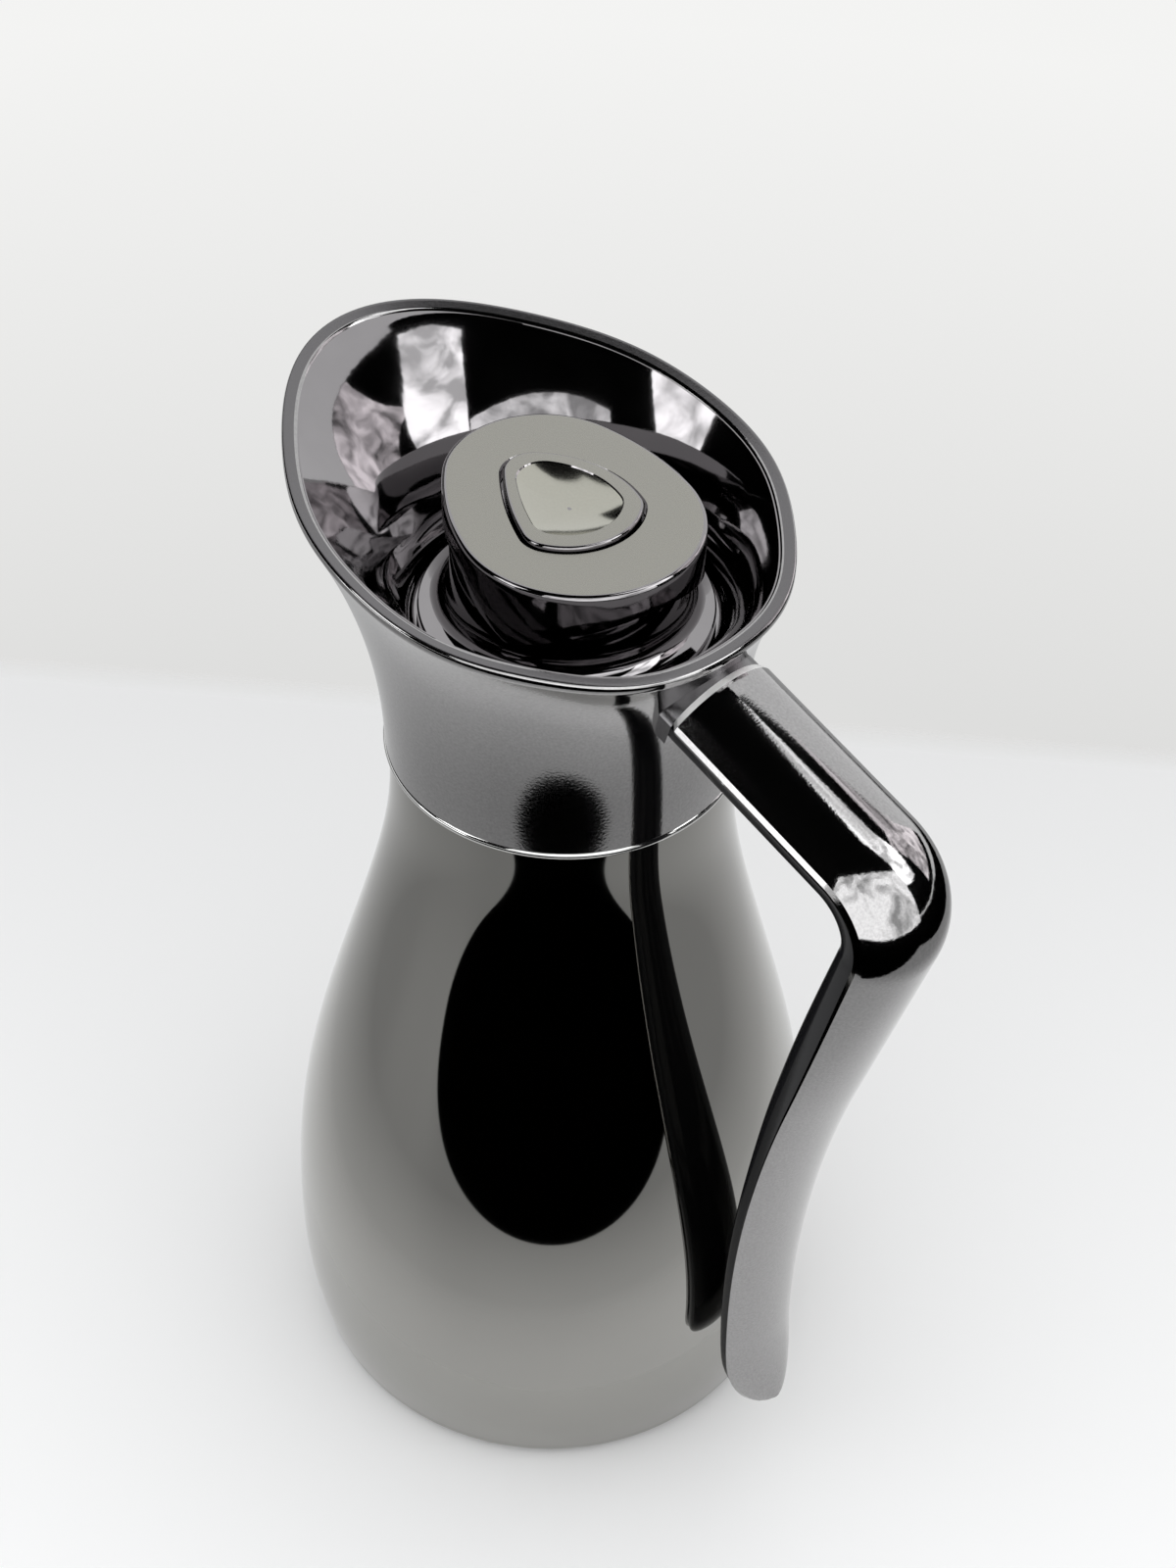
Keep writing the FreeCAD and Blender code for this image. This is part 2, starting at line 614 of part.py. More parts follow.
def make_collar():
    skin = collar_body(0, COLLAR_Z, RIM_BAND)
    band = rim_slab(0, 0, RIM_BAND, 0)
    edge = rim_slab(0, LIP_WIDTH - LIP_FLAT, 0, -LIP_SLOPE)
    place, forward, normal = handle_point(0)
    boss_wire = shell_section(place, normal, HANDLE_WIDTH, HANDLE_THICK, 1, -BOSS_SET)
    boss = Part.Face(boss_wire).extrude(forward * -BOSS_LENGTH)
    body = skin.fuse([band, edge, boss])
    hollow = collar_body(COLLAR_WALL, COLLAR_Z, LIP_HEIGHT)
    mouth = rim_slab(LIP_WIDTH, LIP_WIDTH, LIP_HEIGHT, -OVERRUN)
    seats = screw_bars(SCREW_HEAD_R + FIT, SCREW_SEAT + OVERRUN, -SCREW_SEAT)
    holes = screw_bars(SCREW_R + FIT, SCREW_SEAT + OVERRUN, OVERRUN)
    shell = body.cut([hollow, mouth] + seats + holes)
    bore = SPIGOT_R - SPIGOT_WALL
    web = ring(bore, WAIST_R - COLLAR_WALL / 2, COLLAR_Z, COLLAR_Z + COLLAR_WEB)
    spigot = ring(bore, SPIGOT_R, SPIGOT_FOOT_Z, COLLAR_Z + COLLAR_WEB)
    return shell.fuse([web, spigot]).removeSplitter()


def make_pour_funnel():
    floor_foot = FUNNEL_FLOOR_Z - FUNNEL_FLOOR
    neck_r = NECK_BORE_R + NECK_WALL
    bowl = funnel_body(FUNNEL_WALL, floor_foot)
    neck = rod(neck_r, LINER_TOP_Z + GASKET_HEIGHT, FUNNEL_FLOOR_Z)
    bore = rod(NECK_BORE_R, LINER_TOP_Z, FUNNEL_BOWL_Z)
    return bowl.fuse(neck).cut([funnel_body(0, FUNNEL_FLOOR_Z), bore]).removeSplitter()


def rounded_outline(circles, sides, inset):
    """Closed wire round several corner circles, joined by bulged arcs, moved inwards by an inset."""
    count = len(circles)
    leave, arrive, crowns = [], [None] * count, []
    for i in range(count):
        x1, y1, r1 = circles[i]
        x2, y2, r2 = circles[(i + 1) % count]
        near, far = sides[i] - r1, sides[i] - r2
        apart = math.hypot(x2 - x1, y2 - y1)
        along = (near * near - far * far + apart * apart) / (2 * apart)
        off = math.sqrt(near * near - along * along)
        ux, uy = (x2 - x1) / apart, (y2 - y1) / apart
        cx, cy = x1 + ux * along - uy * off, y1 + uy * along + ux * off
        a1 = math.atan2(y1 - cy, x1 - cx)
        a2 = math.atan2(y2 - cy, x2 - cx)
        middle = a1 + ((a2 - a1) % (2 * math.pi)) / 2
        crowns.append((cx, cy, sides[i] - inset, a1, middle, a2))
        leave.append(a1)
        arrive[(i + 1) % count] = a2
    edges = []
    for i in range(count):
        x, y, r = circles[i]
        sweep = (leave[i] - arrive[i]) % (2 * math.pi)
        corner = (x, y, r - inset, arrive[i], arrive[i] + sweep / 2, leave[i])
        for cx, cy, radius, *angles in (corner, crowns[i]):
            spots = [V(cx + radius * math.cos(a), cy + radius * math.sin(a), 0) for a in angles]
            edges.append(Part.Arc(*spots).toShape())
    return Part.Wire(edges)


def lid_prism(inset, low, high):
    """Upright block with the lid's outline."""
    circles = [(LID_NOSE_X, 0, LID_NOSE_R), (LID_REAR_X, 0, LID_REAR_R)]
    return standing(rounded_outline(circles, (LID_SIDE_R, LID_SIDE_R), inset), low, high)


def button_prism(inset, low, high):
    """Upright block with the button's outline."""
    circles = []
    for turn, reach, radius in zip(BUTTON_TURNS, BUTTON_REACHES, BUTTON_ROUNDS):
        angle = math.radians(turn)
        circles.append(((reach - radius) * math.cos(angle), (reach - radius) * math.sin(angle), radius))
    return standing(rounded_outline(circles, BUTTON_SIDES, inset), low, high)


def standing(wire, low, high):
    """Block from a flat outline, turned with the lid."""
    block = Part.Face(wire).extrude(UP * (high - low))
    block.translate(UP * low)
    block.rotate(ORIGIN, UP, LID_TURN)
    return block


def top_edges(shape):
    """Edges that lie in the top face of a shape."""
    top = shape.BoundBox.ZMax
    return [edge for edge in shape.Edges if edge.BoundBox.ZMin > top - TINY]


def make_stopper_cap():
    skirt_z = LID_TOP_Z - SKIRT_LOW
    lid = lid_prism(0, skirt_z, LID_TOP_Z)
    lid = lid.makeFillet(LID_EDGE, top_edges(lid))
    arch_z = LID_TOP_Z - SKIRT_HIGH - SKIRT_ARCH_R
    reach = LID_NOSE_X + LID_NOSE_R + OVERRUN
    arch = Part.makeCylinder(SKIRT_ARCH_R, reach, V(0, 0, arch_z), V(1, 0, 0))
    lid = lid.cut(spun(arch, [LID_TURN + turn for turn in SKIRT_ARCH_TURNS]))
    flare_z = FLANGE_TOP_Z + NECKING_FLARE
    necking = turned([
        line((0, FLANGE_FOOT_Z), (FLANGE_R, FLANGE_FOOT_Z)),
        line((FLANGE_R, FLANGE_FOOT_Z), (FLANGE_R, FLANGE_TOP_Z)),
        line((FLANGE_R, FLANGE_TOP_Z), (NECKING_FLARE_R, FLANGE_TOP_Z)),
        curve([(NECKING_FLARE_R, FLANGE_TOP_Z), (NECKING_R, flare_z)], (-1, 0), (0, 1)),
        line((NECKING_R, flare_z), (NECKING_R, PLATE_FOOT_Z)),
        line((NECKING_R, PLATE_FOOT_Z), (0, PLATE_FOOT_Z)),
        line((0, PLATE_FOOT_Z), (0, FLANGE_FOOT_Z))])
    cap = lid.fuse(necking).removeSplitter()
    hole = button_prism(-BUTTON_GAP, PLATE_FOOT_Z - OVERRUN, LID_TOP_Z + OVERRUN)
    return cap.cut([rod(CAP_CAVITY_R, FLANGE_FOOT_Z - OVERRUN, PLATE_FOOT_Z), hole])


def make_stopper_plug():
    spigot_r = CAP_CAVITY_R - FIT
    spigot_top = FLANGE_FOOT_Z + PLUG_SPIGOT
    chamber_r = NOSE_R - PLUG_WALL
    seal_r = NOSE_R - SEAL_DEPTH
    guide_r = STEM_R + STEM_PLAY
    guide_foot = WELL_FLOOR_Z - GUIDE_LENGTH
    tube_r = guide_r + GUIDE_WALL
    plug = turned_polygon([
        (VALVE_PORT_R, NOSE_FOOT_Z), (NOSE_R, NOSE_FOOT_Z), (NOSE_R, SEAL_FOOT_Z - SEAL_PLAY),
        (seal_r, SEAL_FOOT_Z - SEAL_PLAY), (seal_r, SEAL_FOOT_Z + SEAL_HEIGHT + SEAL_PLAY),
        (NOSE_R, SEAL_FOOT_Z + SEAL_HEIGHT + SEAL_PLAY), (NOSE_R, PLUG_STEP_Z), (PLUG_R, PLUG_STEP_Z),
        (PLUG_R, FLANGE_FOOT_Z), (spigot_r, FLANGE_FOOT_Z), (spigot_r, spigot_top), (WELL_R, spigot_top),
        (WELL_R, WELL_FLOOR_Z), (guide_r, WELL_FLOOR_Z), (guide_r, guide_foot), (tube_r, guide_foot),
        (tube_r, CHAMBER_TOP_Z), (chamber_r, CHAMBER_TOP_Z), (chamber_r, NOSE_FOOT_Z + PLUG_FLOOR),
        (VALVE_PORT_R, NOSE_FOOT_Z + PLUG_FLOOR)])
    port = Part.makeBox(PLUG_R, PORT_WIDTH, PORT_HEIGHT, V(chamber_r - FIT, -PORT_WIDTH / 2, PORT_FOOT_Z))
    channel = Part.makeCylinder(CHANNEL_R, FLANGE_FOOT_Z - PLUG_STEP_Z, V(PLUG_R, 0, PLUG_STEP_Z))
    return plug.cut([spun(port, even_turns(PORTS)), spun(channel, even_turns(CHANNELS))])


def make_plug_seal():
    inner = NOSE_R - SEAL_DEPTH + SEAL_PLAY
    return ring(inner, LINER_MOUTH_R - SEAL_PLAY, SEAL_FOOT_Z, SEAL_FOOT_Z + SEAL_HEIGHT)


def make_press_button():
    block = button_prism(0, BUTTON_FOOT_Z, BUTTON_TOP_Z)
    block = block.makeFillet(BUTTON_EDGE, top_edges(block))
    flange = button_prism(-BUTTON_FLANGE, BUTTON_FOOT_Z, BUTTON_FOOT_Z + BUTTON_FLANGE_HEIGHT)
    socket = rod(STEM_R + SOCKET_WALL, BUTTON_FOOT_Z - SOCKET_DEPTH, BUTTON_FOOT_Z)
    ball = Part.makeSphere(DISH_R, V(0, 0, BUTTON_TOP_Z - DISH_DEPTH + DISH_R))
    dish = button_prism(DISH_INSET, BUTTON_TOP_Z - DISH_DEPTH - OVERRUN, BUTTON_TOP_Z + OVERRUN).common(ball)
    bore = rod(STEM_R + STEM_FIT, BUTTON_FOOT_Z - SOCKET_DEPTH, BUTTON_FOOT_Z)
    return block.fuse([flange, socket]).removeSplitter().cut([dish, bore])


def make_valve_stem():
    return rod(STEM_R, CLIP_FOOT_Z - STEM_END, BUTTON_FOOT_Z)


def make_valve_disc():
    disc = ring(STEM_R + STEM_FIT, DISC_R, DISC_FOOT_Z, DISC_TOP_Z)
    groove_foot = DISC_TOP_Z - VALVE_SEAL_HEIGHT
    return disc.cut(ring(VALVE_SEAL_IN_R, VALVE_SEAL_OUT_R, groove_foot, DISC_TOP_Z))


def make_valve_seal():
    return ring(VALVE_SEAL_IN_R, VALVE_SEAL_OUT_R, DISC_TOP_Z - VALVE_SEAL_HEIGHT, DISC_TOP_Z)


def make_stem_clip():
    clip = ring(STEM_R + STEM_FIT, CLIP_R, CLIP_FOOT_Z, DISC_FOOT_Z)
    slot = Part.makeBox(CLIP_R, CLIP_SLOT, CLIP_HEIGHT, V(0, -CLIP_SLOT / 2, CLIP_FOOT_Z))
    return clip.cut(slot)


def helix_point(turn, low, pitch):
    """Place and direction on the spring's centre line after a number of turns."""
    angle = 2 * math.pi * turn
    place = V(SPRING_R * math.cos(angle), SPRING_R * math.sin(angle), low + pitch * turn)
    rise = pitch / (2 * math.pi)
    direction = V(-SPRING_R * math.sin(angle), SPRING_R * math.cos(angle), rise)
    return place, direction.normalize()


def tangent_arc(start, corner, end):
    """Arc from start to end whose end tangents meet at a corner."""
    middle = (start + end) / 2
    half = start.distanceToPoint(end) / 2
    height = middle.distanceToPoint(corner)
    sag = half * math.tan(math.atan2(height, half) / 2)
    return Part.Arc(start, middle + (corner - middle) * (sag / height), end).toShape()


def biarc(start, first, end, last):
    """Two tangent arcs that join two places with given directions."""
    span = end - start
    both = first + last
    bend = 2 * (1 - first.dot(last))
    reach = (-span.dot(both) + math.sqrt(span.dot(both) ** 2 + bend * span.dot(span))) / bend
    corner_a = start + first * reach
    corner_b = end - last * reach
    joint = (corner_a + corner_b) / 2
    return [tangent_arc(start, corner_a, joint), tangent_arc(joint, corner_b, end)]


def make_button_spring():
    low = WELL_FLOOR_Z + SPRING_WIRE / 2 + SPRING_SEAT_GAP
    high = BUTTON_FOOT_Z - SPRING_WIRE / 2 - SPRING_SEAT_GAP
    pitch = (high - low) / SPRING_TURNS
    marks = [i / SPRING_TURN_PARTS for i in range(SPRING_TURN_PARTS * SPRING_TURNS + 1)]
    edges = []
    for a, b in zip(marks, marks[1:]):
        start, first = helix_point(a, low, pitch)
        end, last = helix_point(b, low, pitch)
        edges += biarc(start, first, end, last)
    path = Part.Wire(edges)
    start, first = helix_point(0, low, pitch)
    profile = Part.Wire(Part.makeCircle(SPRING_WIRE / 2, start, first))
    count = SPRING_TURN_SAMPLES
    samples = [helix_point(i / count, low, pitch)[0] for i in range(count * SPRING_TURNS + 1)]
    gap = min(a.distanceToPoint(b) for i, a in enumerate(samples) for b in samples[i + count // 2:]) - SPRING_WIRE
    print("least gap between the spring's turns: %.2f mm" % gap)
    return path.makePipeShell([profile], True, False)


NODES = {
    "outer_casing": make_outer_casing, "waist_ring": make_waist_ring, "foot_ring": make_foot_ring,
    "base_cover": make_base_cover, "liner_support": make_liner_support,
    "liner_cushion": make_liner_cushion, "liner_outer_wall": make_liner_outer_wall,
    "liner_inner_wall": make_liner_inner_wall, "mouth_gasket": make_mouth_gasket,
    "neck_nut": make_neck_nut, "collar": make_collar, "pour_funnel": make_pour_funnel,
    "handle_shell": make_handle_shell, "handle_cover": make_handle_cover,
    "handle_screws": make_handle_screws, "stopper_cap": make_stopper_cap,
    "stopper_plug": make_stopper_plug, "plug_seal": make_plug_seal, "press_button": make_press_button,
    "valve_stem": make_valve_stem, "valve_disc": make_valve_disc, "valve_seal": make_valve_seal,
    "stem_clip": make_stem_clip, "button_spring": make_button_spring}


def main():
    os.makedirs("parts", exist_ok=True)
    for name, make in NODES.items():
        shape = make()
        print("%s: %d solid(s), valid %s, %.0f mm3" % (name, len(shape.Solids), shape.isValid(), shape.Volume))
        shape.exportStep("parts/%s.step" % name)


main()
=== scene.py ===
import json
import math
import bpy
from mathutils import Matrix, Vector


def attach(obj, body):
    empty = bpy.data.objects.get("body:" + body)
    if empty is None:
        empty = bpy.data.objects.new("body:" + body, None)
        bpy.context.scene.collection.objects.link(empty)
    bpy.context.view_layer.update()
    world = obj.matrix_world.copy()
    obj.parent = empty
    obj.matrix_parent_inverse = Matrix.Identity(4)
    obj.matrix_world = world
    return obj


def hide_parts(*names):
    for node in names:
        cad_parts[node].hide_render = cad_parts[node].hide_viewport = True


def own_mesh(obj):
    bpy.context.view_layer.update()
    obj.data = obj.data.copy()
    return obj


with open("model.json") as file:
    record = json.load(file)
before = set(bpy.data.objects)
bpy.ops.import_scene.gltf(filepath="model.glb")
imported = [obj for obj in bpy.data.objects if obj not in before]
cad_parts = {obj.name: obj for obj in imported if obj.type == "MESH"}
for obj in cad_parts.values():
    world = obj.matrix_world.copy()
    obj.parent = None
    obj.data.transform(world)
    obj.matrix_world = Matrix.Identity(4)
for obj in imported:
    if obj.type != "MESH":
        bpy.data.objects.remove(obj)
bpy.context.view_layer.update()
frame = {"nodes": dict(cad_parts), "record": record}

MM = 0.001

# Casing and seam, in millimetres
WAIST_Z = 200.0
WAIST_R = 39.6
NECK_R = 38.5
BELLY_R = 66.8
BASE_R = 63.8
CASING_WALL = 1.2
CASING_FOOT_Z = 1.5
CASING_EDGE_R = 3.5
BASE_OPENING_R = 59.9
MOUTH_R = 31.0
CASING_SHARES = ((0.06, 0.942), (0.20, 1.0), (0.36, 0.92), (0.55, 0.632), (0.75, 0.237), (0.90, 0.03))
RING_HEIGHT = 2.0
RING_R = 39.9

# Collar and funnel
COLLAR_Z = WAIST_Z + RING_HEIGHT / 2
COLLAR_WALL = 2.0
RIM_R = 53.6
RIM_Z = 260.8
RIM_RISE_SHARE = 0.172
RIM_WAVE_SHARES = (0.178, 0.080, 0.031, 0.023, 0.011, 0.005, 0.007)
FLARE_LINEAR_SHARE = 0.1
FLARE_POWER_SHARE = 1.85
FLARE_REAR_SHARE = 1.6
RIM_BAND = 1.6
RIM_ROUND = 0.7
LIP_WIDTH = 3.4
LIP_FALL = 0.6
LIP_HEIGHT = 1.0
LIP_EDGE = 0.35
FUNNEL_WALL = 1.5
FUNNEL_R = 34.0
FUNNEL_FLOOR_Z = 233.2
FUNNEL_FLOOR = 2.2
FUNNEL_BOWL_Z = 236.0
FUNNEL_LINEAR_SHARE = 0.35
SPOUT_FLAT_SHARE = 0.36
SPOUT_POWER_SHARE = 7.0
SPOUT_REACH_SHARE = 18.0
FUNNEL_FILLET = 2.0
NECK_BORE_R = 25.5
NECK_WALL = 2.0
NECK_FOOT_Z = 208.5
LEDGE = 0.3

# Handle
HANDLE_ROOT_X = 46.3
HANDLE_CORNER_X = 109.5
HANDLE_CORNER_Z = 227.7
HANDLE_FALL = 16.5
HANDLE_LEAN = 14.0
HANDLE_BEND_R = 22.9
HANDLE_STRAIGHT = 56.0
HANDLE_TIP_R = 349.0
HANDLE_TIP_TURN = 20.6
HANDLE_WIDTH = 27.2
HANDLE_THICK = 14.8
HANDLE_CROWN_SHARE = 0.45
HANDLE_SPLIT_SHARE = 0.57
HANDLE_SEAM = 0.2
HANDLE_SET = 0.9
COVER_POWER_SHARE = 0.5
COVER_SWELLS = ((0.0, 1.0), (0.25, 2.9), (0.5, 1.1), (0.75, 0.7), (1.0, 0.3))
COVER_LEAST = 0.05
COVER_LEAST_SHARE = 0.25
HANDLE_BEVEL = 1.2
BEVEL_WIDTH_SHARE = 0.42
BEVEL_LIMIT_SHARE = 1 / 12
BEVEL_DROP_SHARE = 0.25
HANDLE_TIP = 16.0
HANDLE_FLICK = 24.0
HANDLE_FLICK_R = 90.0
TIP_SWEEP = 86.0
TIP_POWER_SHARE = 0.75
HANDLE_TAPER_SHARES = ((0.0, 1.0, 1.0), (0.38, 0.91, 0.73), (0.72, 0.85, 0.70), (1.0, 0.79, 0.66))
ROOT_CHAMFER = 1.4
ROOT_SHARE = 0.92
BOSS_SET = 0.6
BOSS_LENGTH = 14.0
BOSS_STEP = 0.1
BOSS_ROUNDS = 6

# Stopper
LID_TURN = 163.5
LID_TOP_Z = 262.6
LID_CIRCLES = ((11.5, 0.0, 21.3), (-5.1, 0.0, 25.8))
LID_SIDES = (60.0, 60.0)
LID_EDGE = 1.0
LID_PLATE = 2.8
SKIRT_LOW = 16.3
SKIRT_HIGH = 7.2
SKIRT_ARCH_R = 39.0
SKIRT_ARCH_TURNS = (-52.5, 67.5, 187.5)
FLANGE_R = 31.6
FLANGE_FOOT_Z = 234.8
FLANGE_TOP_Z = 237.2
NECKING_R = 24.7
NECKING_FLARE_R = 29.5
NECKING_FLARE = 6.0
CAVITY_R = 22.4
BUTTON_RISE = 1.0
BUTTON_TURNS = (10.5, 131.5, 237.5)
BUTTON_REACHES = (18.6, 16.3, 15.1)
BUTTON_ROUNDS = (6.5, 6.0, 5.5)
BUTTON_SIDES = (65.0, 16.0, 24.0)
BUTTON_GAP = 0.5
BUTTON_EDGE = 0.6
BUTTON_FLANGE = 1.6
BUTTON_FLANGE_HEIGHT = 3.2
BUTTON_FOOT_Z = 256.2
DISH_INSET = 4.3
DISH_ROUNDS = (10.2, 9.6, 9.2)
DISH_DEPTH = 2.5
DISH_POWER_SHARE = 2.0
DISH_STEP = 0.25
SPRING_R = 6.6
SPRING_WIRE_R = 0.55
SPRING_TURNS = 7
SPRING_FOOT_Z = 233.1
SPRING_LENGTH = 23.0

# Resolution of the meshes, and the angles in degrees past which an edge stays sharp
AROUND = 256
ALONG = 48
EDGE_STEPS = 6
FOOT_STEPS = 8
BEAD_STEPS = 12
ARM_STEPS = 8
BEND_STEPS = 32
TIP_STEPS = 10
CROWN_STEPS = 32
COVER_STEPS = 20
CORNER_STEPS = 96
SKIRT_STEPS = 8
UNDER_STEPS = 4
FLARE_STEPS = 8
DISH_STEPS = 24
WIRE_STEPS = 48
WIRE_SIDES = 12
NEARLY_ZERO = 1e-9
SHARP = 32
HANDLE_SHARP = 10
BOSS_SHARP = 25
BUTTON_SHARP = 20


def spline(xs, ys):
    """Natural cubic spline through points, as a function."""
    n = len(xs)
    gaps = [xs[i + 1] - xs[i] for i in range(n - 1)]
    slopes = [(ys[i + 1] - ys[i]) / gaps[i] for i in range(n - 1)]
    right, bends = [0.0], [0.0]
    for i in range(1, n - 1):
        d = 2 * (gaps[i - 1] + gaps[i]) - gaps[i - 1] * right[i - 1]
        right.append(gaps[i] / d)
        bends.append((6 * (slopes[i] - slopes[i - 1]) - gaps[i - 1] * bends[i - 1]) / d)
    second = [0.0] * n
    for i in range(n - 2, 0, -1):
        second[i] = bends[i] - right[i] * second[i + 1]

    def value(x):
        i = max(j for j in range(n - 1) if j == 0 or xs[j] <= x)
        a, b, g = xs[i + 1] - x, x - xs[i], gaps[i]
        return (second[i] * a ** 3 / (6 * g) + second[i + 1] * b ** 3 / (6 * g)
                + (ys[i] / g - second[i] * g / 6) * a + (ys[i + 1] / g - second[i + 1] * g / 6) * b)
    return value


def steps(count):
    """Evenly spaced shares from 0 to 1."""
    return [i / count for i in range(count + 1)]


def mixed(a, b, share):
    """Values part way from those of one list to those of another."""
    return [x + (y - x) * share for x, y in zip(a, b)]


def mesh_piece(name, rows, material, wrap=True, fan=False, sharp=SHARP, bands=()):
    """Mesh over rows of points in millimetres; the columns close, the rows close or end in fans.

    Bands give other materials to runs of rows, as (first row, last row, material).
    """
    count = len(rows[0])
    points = [tuple(value * MM for value in point) for row in rows for point in row]
    faces = []
    for j in range(len(rows) - (0 if wrap else 1)):
        low, high = j * count, ((j + 1) % len(rows)) * count
        for i in range(count):
            k = (i + 1) % count
            faces.append((low + i, low + k, high + k, high + i))
    if fan:
        for row, turned in ((0, True), (len(rows) - 1, False)):
            middle = [sum(point[axis] for point in rows[row]) / count * MM for axis in range(3)]
            points.append(tuple(middle))
            hub = len(points) - 1
            for i in range(count):
                a, b = row * count + i, row * count + (i + 1) % count
                faces.append((b, a, hub) if turned else (a, b, hub))
    mesh = bpy.data.meshes.new(name)
    mesh.from_pydata(points, [], faces)
    mesh.polygons.foreach_set("use_smooth", [True] * len(mesh.polygons))
    mesh.set_sharp_from_angle(angle=math.radians(sharp))
    mesh.materials.append(material)
    for index, (first, last, other) in enumerate(bands, 1):
        mesh.materials.append(other)
        for face in range(first * count, last * count):
            mesh.polygons[face].material_index = index
    piece = bpy.data.objects.new(name, mesh)
    bpy.context.scene.collection.objects.link(piece)
    return piece


def turns():
    """Angles of the columns of a round piece."""
    return [2 * math.pi * i / AROUND for i in range(AROUND)]


def turned_rows(profile):
    """Rows of a round piece from (radius, height) points."""
    return [[(r * math.cos(a), r * math.sin(a), z) for a in turns()] for r, z in profile]


def arc_points(centre, radius, start, end, count):
    """Points of an arc in a profile, with angles in degrees."""
    angles = [math.radians(start + (end - start) * s) for s in steps(count)]
    return [(centre[0] + radius * math.cos(a), centre[1] + radius * math.sin(a)) for a in angles]


def new_material(name):
    """New material with its node tree and its shader."""
    material = bpy.data.materials.new(name)
    material.use_nodes = True
    return material, material.node_tree, material.node_tree.nodes["Principled BSDF"]


def map_range(tree, value, span, results=(0.0, 1.0)):
    """Output of a node that maps one span of values to another."""
    node = tree.nodes.new("ShaderNodeMapRange")
    node.inputs["From Min"].default_value, node.inputs["From Max"].default_value = span
    node.inputs["To Min"].default_value, node.inputs["To Max"].default_value = results
    tree.links.new(value, node.inputs["Value"])
    return node.outputs["Result"]


def noise_value(tree, scale, detail, distortion=0.0):
    """Output of a noise pattern in the piece's own space."""
    place = tree.nodes.new("ShaderNodeTexCoord")
    noise = tree.nodes.new("ShaderNodeTexNoise")
    noise.inputs["Scale"].default_value = scale
    noise.inputs["Detail"].default_value = detail
    noise.inputs["Distortion"].default_value = distortion
    tree.links.new(place.outputs["Object"], noise.inputs["Vector"])
    return noise.outputs["Fac"]


def bump_material(name, colour, metallic, rough, rough_spread, grain, depth, tint=0.06):
    """Procedural surface with fine grain in its relief, its roughness and its colour."""
    material, tree, shader = new_material(name)
    shader.inputs["Metallic"].default_value = metallic
    noise = noise_value(tree, grain, GRAIN_DETAIL)
    roughness = map_range(tree, noise, (0.0, 1.0), (rough - rough_spread, rough + rough_spread))
    tree.links.new(roughness, shader.inputs["Roughness"])
    mix = tree.nodes.new("ShaderNodeMix")
    mix.data_type = "RGBA"
    mix.inputs["A"].default_value = (*[c * (1 - tint) for c in colour], 1.0)
    mix.inputs["B"].default_value = (*[c * (1 + tint) for c in colour], 1.0)
    tree.links.new(noise, mix.inputs["Factor"])
    tree.links.new(mix.outputs["Result"], shader.inputs["Base Color"])
    bump = tree.nodes.new("ShaderNodeBump")
    bump.inputs["Strength"].default_value = 1.0
    bump.inputs["Distance"].default_value = depth * MM
    tree.links.new(noise, bump.inputs["Height"])
    tree.links.new(bump.outputs["Normal"], shader.inputs["Normal"])
    return material


GRAIN_DETAIL = 3.0
COVER_SPECULAR = 0.12

# Materials: colour, metallic share, roughness and its spread, grain, relief in millimetres, tint
CASING = bump_material("casing", (0.345, 0.34, 0.322), 1.0, 0.035, 0.01, 60.0, 0.0, 0.02)
PLATED = bump_material("plated_plastic", (0.355, 0.35, 0.35), 1.0, 0.06, 0.03, 1700.0, 0.009, 0.22)
FUNNEL = bump_material("funnel_plastic", (0.28, 0.27, 0.276), 1.0, 0.05, 0.02, 90.0, 0.03)
LIP = bump_material("lip", (0.155, 0.151, 0.155), 1.0, 0.24, 0.06, 1900.0, 0.014)
COVER = bump_material("handle_cover", (0.008, 0.008, 0.009), 0.0, 0.12, 0.03, 700.0, 0.002)
COVER.node_tree.nodes["Principled BSDF"].inputs["Specular IOR Level"].default_value = COVER_SPECULAR
# Painted highlight: the root's chamfer is much lighter than the plated shell
EDGE = bump_material("root_edge_highlight", (0.85, 0.85, 0.84), 1.0, 0.45, 0.05, 600.0, 0.001)
TRIM = bump_material("trim", (0.62, 0.62, 0.61), 1.0, 0.08, 0.03, 600.0, 0.001)
PLATE = bump_material("lid_plate", (0.298, 0.292, 0.264), 1.0, 0.26, 0.06, 1900.0, 0.009)
DISH = bump_material("button_dish", (0.40, 0.395, 0.345), 1.0, 0.12, 0.03, 1900.0, 0.004)
INNER = bump_material("inner_plastic", (0.06, 0.06, 0.065), 0.0, 0.45, 0.1, 900.0, 0.01)
RUBBER = bump_material("rubber", (0.04, 0.04, 0.04), 0.0, 0.7, 0.1, 1200.0, 0.02)
SILICONE = bump_material("silicone", (0.72, 0.72, 0.7), 0.0, 0.4, 0.1, 900.0, 0.01)
GLASS = bump_material("glass", (0.78, 0.8, 0.8), 1.0, 0.05, 0.02, 40.0, 0.0)
STEEL = bump_material("steel", (0.6, 0.6, 0.6), 1.0, 0.25, 0.08, 1500.0, 0.002)
SLOTS = {"casing": CASING, "trim": TRIM, "plated_plastic": PLATED, "funnel_plastic": FUNNEL,
         "inner_plastic": INNER, "rubber": RUBBER, "silicone": SILICONE, "glass": GLASS, "steel": STEEL}

# Every CAD node takes the material of its slot
for part in frame["record"]["subparts"]:
    node = frame["nodes"][part["node"]]
    node.data.materials.clear()
    node.data.materials.append(SLOTS[part["material_slot"]])


def placed(piece, slot, body, *nodes):
    """Lets a piece ride on a body and stand for CAD nodes."""
    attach(piece, body)
    if nodes:
        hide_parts(*nodes)
    return piece


